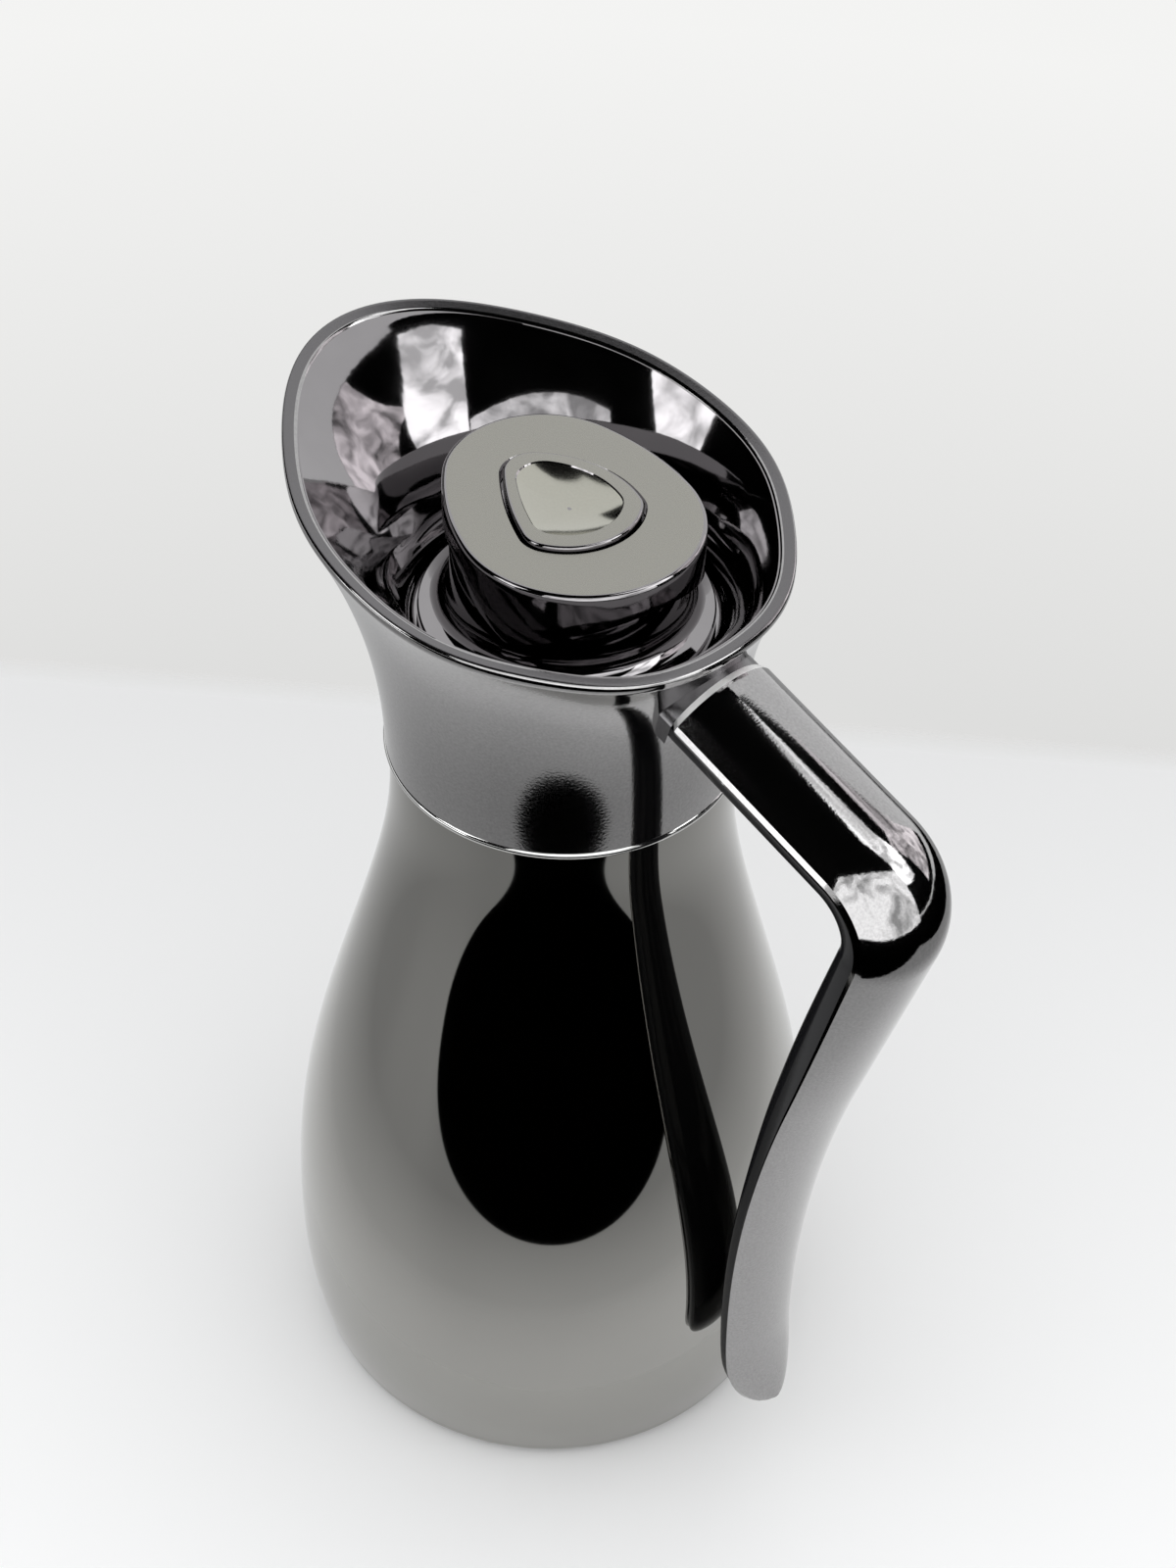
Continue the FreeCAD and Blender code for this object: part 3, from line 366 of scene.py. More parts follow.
def make_casing():
    """Pear-shaped casing with its rolled bottom edge and its top flange."""
    edge_z = CASING_FOOT_Z + CASING_EDGE_R
    top_z = WAIST_Z - RING_HEIGHT / 2
    swell = BELLY_R - NECK_R
    belly = [(NECK_R + swell * s, WAIST_Z * h) for h, s in CASING_SHARES]
    rows = [(BASE_R, edge_z)] + belly + [(NECK_R, top_z)]
    runs = [0.0]
    for a, b in zip(rows, rows[1:]):
        runs.append(runs[-1] + math.dist(a, b))
    radius = spline(runs, [r for r, _ in rows])
    height = spline(runs, [z for _, z in rows])
    side = [(radius(runs[-1] * s), height(runs[-1] * s)) for s in steps(3 * ALONG)]
    centre = (BASE_R - CASING_EDGE_R, edge_z)
    foot = arc_points(centre, CASING_EDGE_R, -90, 0, FOOT_STEPS)
    inside = [(r - CASING_WALL, min(z, top_z - CASING_WALL)) for r, z in reversed(side)]
    profile = ([(BASE_OPENING_R, CASING_FOOT_Z)] + foot + side[1:]
               + [(MOUTH_R, top_z), (MOUTH_R, top_z - CASING_WALL)] + inside + [(BASE_OPENING_R, edge_z)])
    placed(mesh_piece("casing_shell", turned_rows(profile), CASING), "casing", "jug", "outer_casing")


def make_ring():
    """Bead in the seam between casing and collar."""
    half = RING_HEIGHT / 2
    bead = arc_points((RING_R - half, WAIST_Z), half, -90, 90, BEAD_STEPS)
    profile = [(MOUTH_R, WAIST_Z - half)] + bead + [(MOUTH_R, WAIST_Z + half)]
    placed(mesh_piece("seam_bead", turned_rows(profile), TRIM), "trim", "jug", "waist_ring")


def rim_radius(turn):
    """Plan radius of the rim at an angle from the spout."""
    return RIM_R * (1 + sum(s * math.cos(n * turn) for n, s in enumerate(RIM_WAVE_SHARES, 1)))


def loop(radius_at, base_z, step, drop):
    """Ring of points about the axis that tilts towards the spout as step goes from 0 to 1."""
    points = []
    for turn in turns():
        radius = radius_at(turn)
        rise = RIM_Z - drop - base_z + RIM_RISE_SHARE * radius * math.cos(turn)
        points.append((-radius * math.cos(turn), -radius * math.sin(turn), base_z + rise * step))
    return points


def flared(step, low_r, top_inset, growth):
    """Radius of a flared wall part way from a round foot to the rim."""
    return lambda turn: low_r + (rim_radius(turn) - top_inset - low_r) * growth(step, turn)


def collar_growth(step, turn):
    """Share of the collar's flare that is reached at a step; the handle side stays upright for longer."""
    rear = (1 - math.cos(turn)) / 2
    linear = FLARE_LINEAR_SHARE * (1 - rear)
    return linear * step + (1 - linear) * step ** (FLARE_POWER_SHARE + FLARE_REAR_SHARE * rear)


def funnel_growth(step, turn):
    """Share of the funnel's flare that is reached at a step; it levels out towards the spout's edge."""
    flat = SPOUT_FLAT_SHARE * ((1 + math.cos(turn)) / 2) ** SPOUT_REACH_SHARE
    bowl = FUNNEL_LINEAR_SHARE * step + (1 - FUNNEL_LINEAR_SHARE) * step * step
    return (1 - flat) * bowl + flat * step ** SPOUT_POWER_SHARE


def rim_loop(inset, drop):
    """Ring that follows the rim, moved inwards and down."""
    return loop(lambda turn: rim_radius(turn) - inset, 0.0, 1.0, drop)


def make_collar():
    """Flared collar with its rounded rim and its lip."""
    rows = [loop(flared(s, WAIST_R, 0, collar_growth), COLLAR_Z, s, RIM_BAND) for s in steps(ALONG)]
    lip = len(rows) - 1
    for s in steps(EDGE_STEPS):
        angle = math.radians(90 * s)
        rows.append(rim_loop(RIM_ROUND * (1 - math.cos(angle)), RIM_ROUND * (1 - math.sin(angle))))
    for s in steps(EDGE_STEPS)[1:]:
        rows.append(rim_loop(RIM_ROUND + (LIP_WIDTH - LIP_EDGE - RIM_ROUND) * s, LIP_FALL * s))
    rows += [rim_loop(LIP_WIDTH, LIP_FALL + LIP_EDGE), rim_loop(LIP_WIDTH, LIP_HEIGHT + LIP_EDGE)]
    for s in reversed(steps(ALONG)):
        inside = flared(s, WAIST_R - COLLAR_WALL, COLLAR_WALL, collar_growth)
        rows.append(loop(inside, COLLAR_Z, s, RIM_BAND))
    bands = ((lip + EDGE_STEPS - 1, lip + 2 * EDGE_STEPS, LIP),)
    collar = mesh_piece("collar_flare", rows, PLATED, bands=bands)
    placed(collar, "plated_plastic", "jug", "collar")


def make_funnel():
    """Funnel inside the collar, with its floor and its neck."""
    floor_foot = FUNNEL_FLOOR_Z - FUNNEL_FLOOR
    inset = LIP_WIDTH + LEDGE
    rows = [loop(lambda turn: NECK_BORE_R, z, 0, 0) for z in (NECK_FOOT_Z, FUNNEL_FLOOR_Z)]
    centre = (FUNNEL_R - FUNNEL_FILLET, FUNNEL_FLOOR_Z + FUNNEL_FILLET)
    corner = arc_points(centre, FUNNEL_FILLET, -90, 0, EDGE_STEPS)
    rows += [loop(lambda turn, r=r: r, z, 0, 0) for r, z in corner]
    for s in steps(ALONG):
        rows.append(loop(flared(s, FUNNEL_R, inset, funnel_growth), FUNNEL_BOWL_Z, s, LIP_HEIGHT))
    outer = FUNNEL_R + FUNNEL_WALL
    for s in reversed(steps(ALONG)):
        outside = flared(s, outer, inset - FUNNEL_WALL, funnel_growth)
        rows.append(loop(outside, FUNNEL_BOWL_Z, s, LIP_HEIGHT))
    neck = NECK_BORE_R + NECK_WALL
    for r, z in ((outer, floor_foot), (neck, floor_foot), (neck, NECK_FOOT_Z)):
        rows.append(loop(lambda turn, r=r: r, z, 0, 0))
    placed(mesh_piece("funnel_bowl", rows, FUNNEL), "funnel_plastic", "jug", "pour_funnel")


def handle_path():
    """Outer face of the handle from its root, as (length, curvature) pieces in the XZ plane."""
    fall = math.radians(HANDLE_FALL)
    swing = math.pi / 2 + math.radians(HANDLE_LEAN) - fall
    arm = (HANDLE_CORNER_X - HANDLE_ROOT_X) / math.cos(fall)
    setback = HANDLE_BEND_R * math.tan(swing / 2)
    return [(arm - setback, 0), (HANDLE_BEND_R * swing, -1 / HANDLE_BEND_R), (HANDLE_STRAIGHT, 0),
            (HANDLE_TIP_R * math.radians(HANDLE_TIP_TURN) - HANDLE_FLICK, 1 / HANDLE_TIP_R),
            (HANDLE_FLICK, 1 / HANDLE_FLICK_R)]


def handle_point(left):
    """Place and outward normal after a length of the handle's path, as (x, z) pairs."""
    heading = -math.radians(HANDLE_FALL)
    x = HANDLE_ROOT_X
    z = HANDLE_CORNER_Z + (HANDLE_CORNER_X - HANDLE_ROOT_X) * math.tan(-heading)
    for length, bend in handle_path():
        run = min(left, length)
        c, s = math.cos(heading), math.sin(heading)
        if bend == 0:
            x, z = x + c * run, z + s * run
        else:
            turn = run * bend
            ahead, aside = math.sin(turn) / bend, (1 - math.cos(turn)) / bend
            x, z = x + c * ahead - s * aside, z + s * ahead + c * aside
            heading += turn
        left -= run
    return (x, z), (-math.sin(heading), math.cos(heading))


def handle_stations():
    """Length along the path, width and thickness of the handle's sections."""
    arm, bend, *rest = (length for length, _ in handle_path())
    lower = sum(rest)
    wide = spline([row[0] for row in HANDLE_TAPER_SHARES], [row[1] for row in HANDLE_TAPER_SHARES])
    deep = spline([row[0] for row in HANDLE_TAPER_SHARES], [row[2] for row in HANDLE_TAPER_SHARES])
    stations = [(arm * s, 1.0, 1.0) for s in steps(ARM_STEPS)[:-1]]
    stations += [(arm + bend * s, 1.0, 1.0) for s in steps(BEND_STEPS)[:-1]]
    body = lower - HANDLE_TIP
    for run in [body * s for s in steps(2 * ALONG)]:
        stations.append((arm + bend + run, wide(run / lower), deep(run / lower)))
    for s in steps(TIP_STEPS)[1:]:
        angle = math.radians(TIP_SWEEP * s)
        run = body + HANDLE_TIP * math.sin(angle)
        shrink = math.cos(angle) ** TIP_POWER_SHARE
        stations.append((arm + bend + run, wide(run / lower) * shrink, deep(run / lower) * shrink))
    swell = spline([row[0] for row in COVER_SWELLS], [row[1] for row in COVER_SWELLS])
    rows = []
    for run, w, t in stations:
        along = (run - arm - bend) / lower
        fuller = swell(along) if along > 0 else COVER_SWELLS[0][1] * min(max((run - arm) / bend, 0.0), 1.0)
        rows.append((run, HANDLE_WIDTH * w, HANDLE_THICK * t, fuller))
    return rows


def shell_corners(width, thick, swell=0.0, depth_share=HANDLE_SPLIT_SHARE):
    """Crowned section of the handle's outer shell as (side, depth) points, with a bevel at each edge.

    The swell belongs to the inner cover and changes nothing here.
    """
    half, crown, depth = width / 2, thick * HANDLE_CROWN_SHARE, thick * depth_share
    radius = (half * half + crown * crown) / (2 * crown)
    bevel = min(HANDLE_BEVEL, width * BEVEL_LIMIT_SHARE)
    flat = half - bevel * BEVEL_WIDTH_SHARE
    sides = [flat * (2 * s - 1) for s in steps(CROWN_STEPS)]
    top = [(side, math.sqrt(radius ** 2 - side ** 2) - radius) for side in sides]
    edge = top[0][1] - bevel
    low = min(-depth, edge - bevel * BEVEL_DROP_SHARE)
    flank = half - HANDLE_SET / 2
    return [(-flank, low), (-half, edge)] + top + [(half, edge), (flank, low)]


def cover_corners(width, thick, swell):
    """Section of the handle's inner cover as (side, depth) points."""
    half = max(width / 2 - HANDLE_SET, width * COVER_LEAST_SHARE)
    high = thick * HANDLE_SPLIT_SHARE + HANDLE_SEAM
    deep = max(thick - high + swell, COVER_LEAST)
    rows = [(half * math.cos(math.pi * s), math.sin(math.pi * s)) for s in steps(COVER_STEPS)]
    return [(side, -high - deep * up ** COVER_POWER_SHARE) for side, up in rows]


def handle_rows(corners, stations):
    """Rows of a handle piece along the path."""
    rows = []
    for run, width, thick, swell in stations:
        (x, z), (nx, nz) = handle_point(run)
        section = corners(width, thick, swell)
        rows.append([(x + nx * depth, side, z + nz * depth) for side, depth in section])
    return rows


def collar_radius(turn, z):
    """Radius of the collar's outside at an angle from the spout and a height."""
    radius = WAIST_R
    for _ in range(BOSS_ROUNDS):
        top = RIM_Z - RIM_BAND + RIM_RISE_SHARE * radius * math.cos(turn)
        step = min(max((z - COLLAR_Z) / (top - COLLAR_Z), 0.0), 1.0)
        radius = flared(step, WAIST_R, 0, collar_growth)(turn)
    return radius


def collar_foot(point, back):
    """First place on a line back from a point that lies inside the collar's wall."""
    run = 0.0
    while run < BOSS_LENGTH:
        x, y, z = (p + b * run for p, b in zip(point, back))
        if math.hypot(x, y) < collar_radius(math.atan2(y, -x), z) - COLLAR_WALL / 2:
            break
        run += BOSS_STEP
    return x, y, z


def make_handle():
    """Outer shell, inner cover and boss of the handle."""
    stations = handle_stations()
    root = handle_rows(shell_corners, stations[:1])[0]
    middle = [sum(point[axis] for point in root) / len(root) for axis in range(3)]
    sections = handle_rows(shell_corners, [(ROOT_CHAMFER, *stations[0][1:])] + stations[1:])
    sections.insert(0, [mixed(middle, point, ROOT_SHARE) for point in root])
    # The root chamfer's band carries the painted highlight
    shell = mesh_piece("handle_outer", sections, PLATED, wrap=False, fan=True, sharp=HANDLE_SHARP,
                       bands=((0, 1, EDGE),))
    placed(shell, "plated_plastic", "jug", "handle_shell")
    cover = mesh_piece("handle_inner", handle_rows(cover_corners, stations), COVER, wrap=False, fan=True)
    placed(cover, "funnel_plastic", "jug", "handle_cover")
    (x, z), (nx, nz) = handle_point(0)
    section = shell_corners(HANDLE_WIDTH, HANDLE_THICK, 0.0, 1.0 - 2 * BOSS_SET / HANDLE_THICK)
    narrow = 1 - 2 * BOSS_SET / HANDLE_WIDTH
    ends = []
    for side, depth in section:
        ends.append((x + nx * (depth - BOSS_SET), side * narrow, z + nz * (depth - BOSS_SET)))
    rows = [[collar_foot(end, (-nz, 0.0, nx)) for end in ends], ends]
    # The boss takes the lip's darker material as painted shade under the rim
    boss = mesh_piece("handle_boss", rows, LIP, wrap=False, fan=True, sharp=BOSS_SHARP)
    placed(boss, "plated_plastic", "jug")


def outline(circles, sides, inset):
    """Points round several corner circles joined by bulged arcs, moved inwards by an inset."""
    total = len(circles)
    crowns = []
    for i in range(total):
        x1, y1, r1 = circles[i]
        x2, y2, r2 = circles[(i + 1) % total]
        near, far = sides[i] - r1, sides[i] - r2
        apart = math.dist((x1, y1), (x2, y2))
        along = (near * near - far * far + apart * apart) / (2 * apart)
        off = math.sqrt(near * near - along * along)
        ux, uy = (x2 - x1) / apart, (y2 - y1) / apart
        cx, cy = x1 + ux * along - uy * off, y1 + uy * along + ux * off
        crowns.append((cx, cy, math.atan2(y1 - cy, x1 - cx), math.atan2(y2 - cy, x2 - cx)))
    points = []
    for i in range(total):
        x, y, r = circles[i]
        arrive, leave = crowns[i - 1][3], crowns[i][2]
        sweep = (leave - arrive) % (2 * math.pi)
        cx, cy, first, last = crowns[i]
        swing = (last - first) % (2 * math.pi)
        bulge = sides[i] - inset
        for s in steps(CORNER_STEPS)[:-1]:
            angle = arrive + sweep * s
            points.append((x + (r - inset) * math.cos(angle), y + (r - inset) * math.sin(angle)))
        for s in steps(CORNER_STEPS)[:-1]:
            angle = first + swing * s
            points.append((cx + bulge * math.cos(angle), cy + bulge * math.sin(angle)))
    return points


def polar(points):
    """Radii of an outline at the columns' angles."""
    circle = 2 * math.pi
    spots = sorted((math.atan2(y, x) % circle, math.hypot(x, y)) for x, y in points)
    (first, first_r), (last, last_r) = spots[0], spots[-1]
    spots = [(last - circle, last_r)] + spots + [(first + circle, first_r)]
    radii, i = [], 0
    for angle in turns():
        while spots[i + 1][0] < angle:
            i += 1
        (a, ra), (b, rb) = spots[i], spots[i + 1]
        radii.append(ra + (rb - ra) * (angle - a) / max(b - a, NEARLY_ZERO))
    return radii


def lid_radii(inset):
    """Radii of the lid's outline at the columns' angles."""
    return polar(outline(LID_CIRCLES, LID_SIDES, inset))


def button_radii(inset, rounds=BUTTON_ROUNDS):
    """Radii of the button's outline at the columns' angles."""
    circles = []
    for turn, reach, radius in zip(BUTTON_TURNS, BUTTON_REACHES, rounds):
        angle = math.radians(turn)
        circles.append(((reach - radius) * math.cos(angle), (reach - radius) * math.sin(angle), radius))
    return polar(outline(circles, BUTTON_SIDES, inset))


def lid_row(radii, heights):
    """Ring of points turned with the lid; heights is one value or one for each column."""
    if isinstance(heights, float):
        heights = [heights] * AROUND
    return [(r * math.cos(a + math.radians(LID_TURN)), r * math.sin(a + math.radians(LID_TURN)), z)
            for r, a, z in zip(radii, turns(), heights)]


def skirt_heights(radii):
    """Wavy lower edge of the lid: low at its corners and high between them."""
    low = LID_TOP_Z - SKIRT_LOW
    base = LID_TOP_Z - SKIRT_HIGH - SKIRT_ARCH_R
    heights = []
    for radius, angle in zip(radii, turns()):
        best = low
        for turn in SKIRT_ARCH_TURNS:
            off = radius * math.sin(angle - math.radians(turn))
            if math.cos(angle - math.radians(turn)) > 0 and abs(off) < SKIRT_ARCH_R:
                best = max(best, base + math.sqrt(SKIRT_ARCH_R ** 2 - off ** 2))
        heights.append(best)
    return heights


def make_cap():
    """Egg-shaped lid with its wavy skirt, its necking and its round flange."""
    plate_foot = LID_TOP_Z - LID_PLATE
    hole = button_radii(-BUTTON_GAP)
    hole_edge = button_radii(-BUTTON_GAP - LIP_EDGE)
    rows = [lid_row(hole, plate_foot), lid_row(hole, LID_TOP_Z - LIP_EDGE)]
    plate = len(rows)
    inner = lid_radii(LID_EDGE)
    rows += [lid_row(mixed(hole_edge, inner, s), LID_TOP_Z) for s in steps(EDGE_STEPS)]
    for s in steps(EDGE_STEPS)[1:]:
        angle = math.radians(90 * s)
        radii = lid_radii(LID_EDGE * (1 - math.sin(angle)))
        rows.append(lid_row(radii, LID_TOP_Z - LID_EDGE * (1 - math.cos(angle))))
    outer = lid_radii(0)
    low = skirt_heights(outer)
    top = [LID_TOP_Z - LID_EDGE] * AROUND
    foot = [z + LIP_EDGE for z in low]
    rows += [lid_row(outer, mixed(top, foot, s)) for s in steps(SKIRT_STEPS)[1:]]
    inset = lid_radii(LIP_EDGE)
    rows.append(lid_row(inset, low))
    neck = [NECKING_R] * AROUND
    for s in steps(UNDER_STEPS)[1:]:
        radii = mixed(inset, neck, s)
        rows.append(lid_row(radii, skirt_heights(radii)))
    flare_z = FLANGE_TOP_Z + NECKING_FLARE
    reach = NECKING_FLARE_R - NECKING_R
    for s in steps(FLARE_STEPS):
        angle = math.radians(90 * s)
        rows.append(lid_row([NECKING_FLARE_R - reach * math.cos(angle)] * AROUND,
                            flare_z - NECKING_FLARE * math.sin(angle)))
    flange = ((FLANGE_R - LIP_EDGE, FLANGE_TOP_Z), (FLANGE_R, FLANGE_TOP_Z - LIP_EDGE),
              (FLANGE_R, FLANGE_FOOT_Z), (CAVITY_R, FLANGE_FOOT_Z), (CAVITY_R, plate_foot))
    rows += [lid_row([r] * AROUND, z) for r, z in flange]
    cap = mesh_piece("lid_cap", rows, FUNNEL, bands=((plate, plate + EDGE_STEPS, PLATE),))
    placed(cap, "plated_plastic", "stopper", "stopper_cap")


def make_button():
    """Rounded-triangle button with a flange and a finger dish."""
    top = LID_TOP_Z + BUTTON_RISE
    flange = button_radii(-BUTTON_FLANGE)
    flange_top = BUTTON_FOOT_Z + BUTTON_FLANGE_HEIGHT
    rows = [lid_row(flange, BUTTON_FOOT_Z), lid_row(flange, flange_top)]
    rows.append(lid_row(button_radii(0), flange_top))
    for s in steps(EDGE_STEPS):
        angle = math.radians(90 * s)
        radii = button_radii(BUTTON_EDGE * (1 - math.cos(angle)))
        rows.append(lid_row(radii, top - BUTTON_EDGE * (1 - math.sin(angle))))
    ring = len(rows) - 1
    rows.append(lid_row(button_radii(DISH_INSET - DISH_STEP, DISH_ROUNDS), top))
    dish = button_radii(DISH_INSET, DISH_ROUNDS)
    for s in steps(DISH_STEPS)[:-1]:
        drop = DISH_STEP + (DISH_DEPTH - DISH_STEP) * (1 - (1 - s) ** DISH_POWER_SHARE)
        rows.append(lid_row([r * (1 - s) for r in dish], top - drop))
    bands = ((ring, ring + 1, PLATE), (ring + 2, len(rows) - 1, DISH))
    button = mesh_piece("button_top", rows, FUNNEL, wrap=False, fan=True, sharp=BUTTON_SHARP, bands=bands)
    placed(button, "plated_plastic", "button", "press_button")


def make_spring():
    """Coil spring at its full length; the real spring shortens as the button goes down."""
    rows = []
    for share in steps(SPRING_TURNS * WIRE_STEPS):
        angle = 2 * math.pi * SPRING_TURNS * share
        middle = SPRING_FOOT_Z + SPRING_WIRE_R + (SPRING_LENGTH - 2 * SPRING_WIRE_R) * share
        ring = []
        for k in range(WIRE_SIDES):
            side = 2 * math.pi * k / WIRE_SIDES
            radius = SPRING_R + SPRING_WIRE_R * math.cos(side)
            z = middle + SPRING_WIRE_R * math.sin(side)
            ring.append((radius * math.cos(angle), radius * math.sin(angle), z))
        rows.append(ring)
    spring = mesh_piece("spring_coil", rows, STEEL, wrap=False, fan=True)
    placed(spring, "steel", "stopper", "button_spring")
    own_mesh(spring)


make_casing()
make_ring()
make_collar()
make_funnel()
make_handle()
make_cap()
make_button()
make_spring()

# Table, cards and light, in metres and degrees
VIEW_TURN = math.radians(-44.0)
TOWARDS = Vector((math.cos(VIEW_TURN), math.sin(VIEW_TURN), 0.0))
ASIDE = Vector((-TOWARDS.y, TOWARDS.x, 0.0))
TABLE_BACK = 0.232
TABLE_SOFT = 0.012
TABLE_TURN_SHARE = 0.077
TABLE_FRONT = 3.0
TABLE_HALF = 3.0
TABLE_ROUGH = 0.6
# Painted shade on the table: its white is darker towards the back
TABLE_SHADE_SPAN = (-0.22, 0.16)
TABLE_SHADE_TONES = (0.75, 0.99)
# Glowing ring seen only in reflections: a painted reflection of the table, with painted shade further out
DIM_NEAR = 0.09
DIM_FADE = 0.19
DIM_FAR = 0.285
DIM_CENTRE = (-0.02, 0.042, 0.0)
DIM_END = 1.4
DIM_GLOWS = (0.90, 0.36)
DIM_LIFT = 0.0005
# Black cards seen only in reflections: painted dark reflections
CARD_FRONT = 0.215
CARD_FAR = 1.6
CARD_LEFT = 0.9
CARD_RIGHT = 3.0
CARD_LIFT = 0.001
CARD_ROUGH = 0.9
SIDE_LEFT = 0.42
SIDE_BACK = 0.8
DOME_FAR = 1.0
DOME_ACROSS = 40
DOME_UPWARD = 20
# Glowing clouds and cards seen only in reflections: painted reflections and highlights
CLOUD_FAR = 0.95
CLOUD_TURNS = (52.0, 88.0)
CLOUD_RISES = (2.0, 47.0)
CLOUD_SPAN = (0.38, 0.66)
CLOUD_GLOWS = (0.15, 2.1)
CLOUD_COLOUR = (1.0, 0.94, 0.97, 1.0)
CLOUD_SCALE = 5.0
CLOUD_DETAIL = 4.0
CLOUD_DISTORTION = 0.8
WHITE_TURN = -26.0
WHITE_FAR = 0.40
WHITE_HALF = 0.42
WHITE_HEIGHTS = (0.16, 0.73)
WHITE_SPAN = (0.36, 0.56)
WHITE_GLOWS = (0.7, 2.3)
WINDOW_FAR = 0.88
WINDOW_SPAN = (0.36, 0.60)
WINDOW_GLOWS = (1.3, 3.8)
ROOM_COLOUR = (0.97, 0.975, 0.98, 1.0)
ROOM_GLOW = 1.12
WALL_COLOUR = (1.0, 1.0, 0.99, 1.0)
# Painted shade on the wall: its glow is weaker lower down
WALL_GLOWS = (0.73, 0.90)
WALL_RISES = (-0.66, -0.44)
BLACK = (0.0, 0.0, 0.0, 1.0)

# Dark parts of the sphere, seen only in reflections as painted dark reflections: name, first and last
# direction, low and high angle
DARK_DOMES = (("dark_dome", -102.0, 88.0, -4.0, 90.0),
              ("dark_cap", -180.0, 180.0, 65.0, 90.0),
              ("dark_back", 185.0, 258.0, 2.0, 90.0),
              ("dark_low", 150.0, 185.0, 2.0, 24.0))

# Glowing bright cards, seen only in reflections as painted reflections: name, direction, angle upwards,
# lean, width and height
WINDOWS = (("window_right", 39.0, 49.0, 18.0, 0.33, 1.12),
           ("window_left", -109.0, 36.0, 0.0, 0.30, 0.46),
           ("window_low", -112.0, -6.0, 0.0, 0.5, 0.22))


def measure(tree, operation, vector):
    """Output of a node that measures each spot of a piece against one vector."""
    place = tree.nodes.new("ShaderNodeTexCoord")
    node = tree.nodes.new("ShaderNodeVectorMath")
    node.operation = operation
    node.inputs[1].default_value = vector
    tree.links.new(place.outputs["Object"], node.inputs[0])
    return node.outputs["Value"]


def matte_material(name, rough):
    """Black surface without gloss."""
    material, tree, shader = new_material(name)
    shader.inputs["Base Color"].default_value = BLACK
    shader.inputs["Roughness"].default_value = rough
    shader.inputs["Specular IOR Level"].default_value = 0.0
    return material, tree, shader


def glow_material(name, colour):
    """Black surface that glows in one colour."""
    material, tree, shader = new_material(name)
    shader.inputs["Base Color"].default_value = BLACK
    shader.inputs["Emission Color"].default_value = colour
    return material, tree, shader


def table_material():
    """White with painted shade that darkens it towards the back, and a soft back edge."""
    material, tree, shader = matte_material("table_white", TABLE_ROUGH)
    depth = measure(tree, "DOT_PRODUCT", TOWARDS)
    # Painted shade: the base colour darkens from front to back
    tree.links.new(map_range(tree, depth, TABLE_SHADE_SPAN, TABLE_SHADE_TONES), shader.inputs["Base Color"])
    back = measure(tree, "DOT_PRODUCT", TOWARDS - ASIDE * TABLE_TURN_SHARE)
    fade = map_range(tree, back, (-TABLE_BACK, TABLE_SOFT - TABLE_BACK))
    tree.links.new(fade, shader.inputs["Alpha"])
    return material


def dim_material():
    """Painted reflection of the table that fades in around the jug, with painted shade that makes it
    weaker further out.
    """
    material, tree, shader = glow_material("table_dim", ROOM_COLOUR)
    far = measure(tree, "DISTANCE", DIM_CENTRE)
    tree.links.new(map_range(tree, far, (DIM_NEAR, DIM_FADE)), shader.inputs["Alpha"])
    glow = map_range(tree, far, (DIM_NEAR, DIM_FAR), DIM_GLOWS)
    tree.links.new(glow, shader.inputs["Emission Strength"])
    return material


def cloud_material(name, colour, span, glows):
    """Glow in a soft cloud pattern."""
    material, tree, shader = glow_material(name, colour)
    noise = noise_value(tree, CLOUD_SCALE, CLOUD_DETAIL, CLOUD_DISTORTION)
    tree.links.new(map_range(tree, noise, span, glows), shader.inputs["Emission Strength"])
    return material


def sheet(name, corners, material, faces=((0, 1, 2, 3),)):
    """Piece of the stage from its corners and faces."""
    mesh = bpy.data.meshes.new(name)
    mesh.from_pydata([tuple(corner) for corner in corners], [], faces)
    mesh.materials.append(material)
    piece = bpy.data.objects.new(name, mesh)
    bpy.context.scene.collection.objects.link(piece)
    return piece


def reflected_only(piece):
    """Leaves a card visible in mirror reflections only."""
    piece.visible_camera = False
    piece.visible_diffuse = False
    piece.visible_shadow = False


def standing_corners(turn, far, half, heights):
    """Corners of an upright card that faces the axis."""
    out = Vector((math.cos(math.radians(turn)), math.sin(math.radians(turn)), 0.0))
    aside = Vector((-out.y, out.x, 0.0))
    low, high = (Vector((0.0, 0.0, height)) for height in heights)
    left, right = out * far - aside * half, out * far + aside * half
    return [left + low, right + low, right + high, left + high]


def facing_corners(turn, rise, lean, far, width, height):
    """Corners of a card that faces the jug from a direction and leans aside, all in degrees."""
    turn, rise, lean = math.radians(turn), math.radians(rise), math.radians(lean)
    out = Vector((math.cos(turn) * math.cos(rise), math.sin(turn) * math.cos(rise), math.sin(rise)))
    aside = Vector((-math.sin(turn), math.cos(turn), 0.0))
    upward = out.cross(aside)
    across = aside * math.cos(lean) - upward * math.sin(lean)
    along = upward * math.cos(lean) + aside * math.sin(lean)
    middle = out * far + Vector((0.0, 0.0, RIM_Z * MM))
    return [middle + across * (x * width / 2) + along * (y * height / 2)
            for x, y in ((-1, -1), (1, -1), (1, 1), (-1, 1))]


def level_sheet(name, along, aside, height, material):
    """Level card between two distances towards the camera and two distances to its right."""
    spots = ((along[0], aside[0]), (along[1], aside[0]), (along[1], aside[1]), (along[0], aside[1]))
    corners = [TOWARDS * a + ASIDE * b + Vector((0.0, 0.0, height)) for a, b in spots]
    return sheet(name, corners, material)


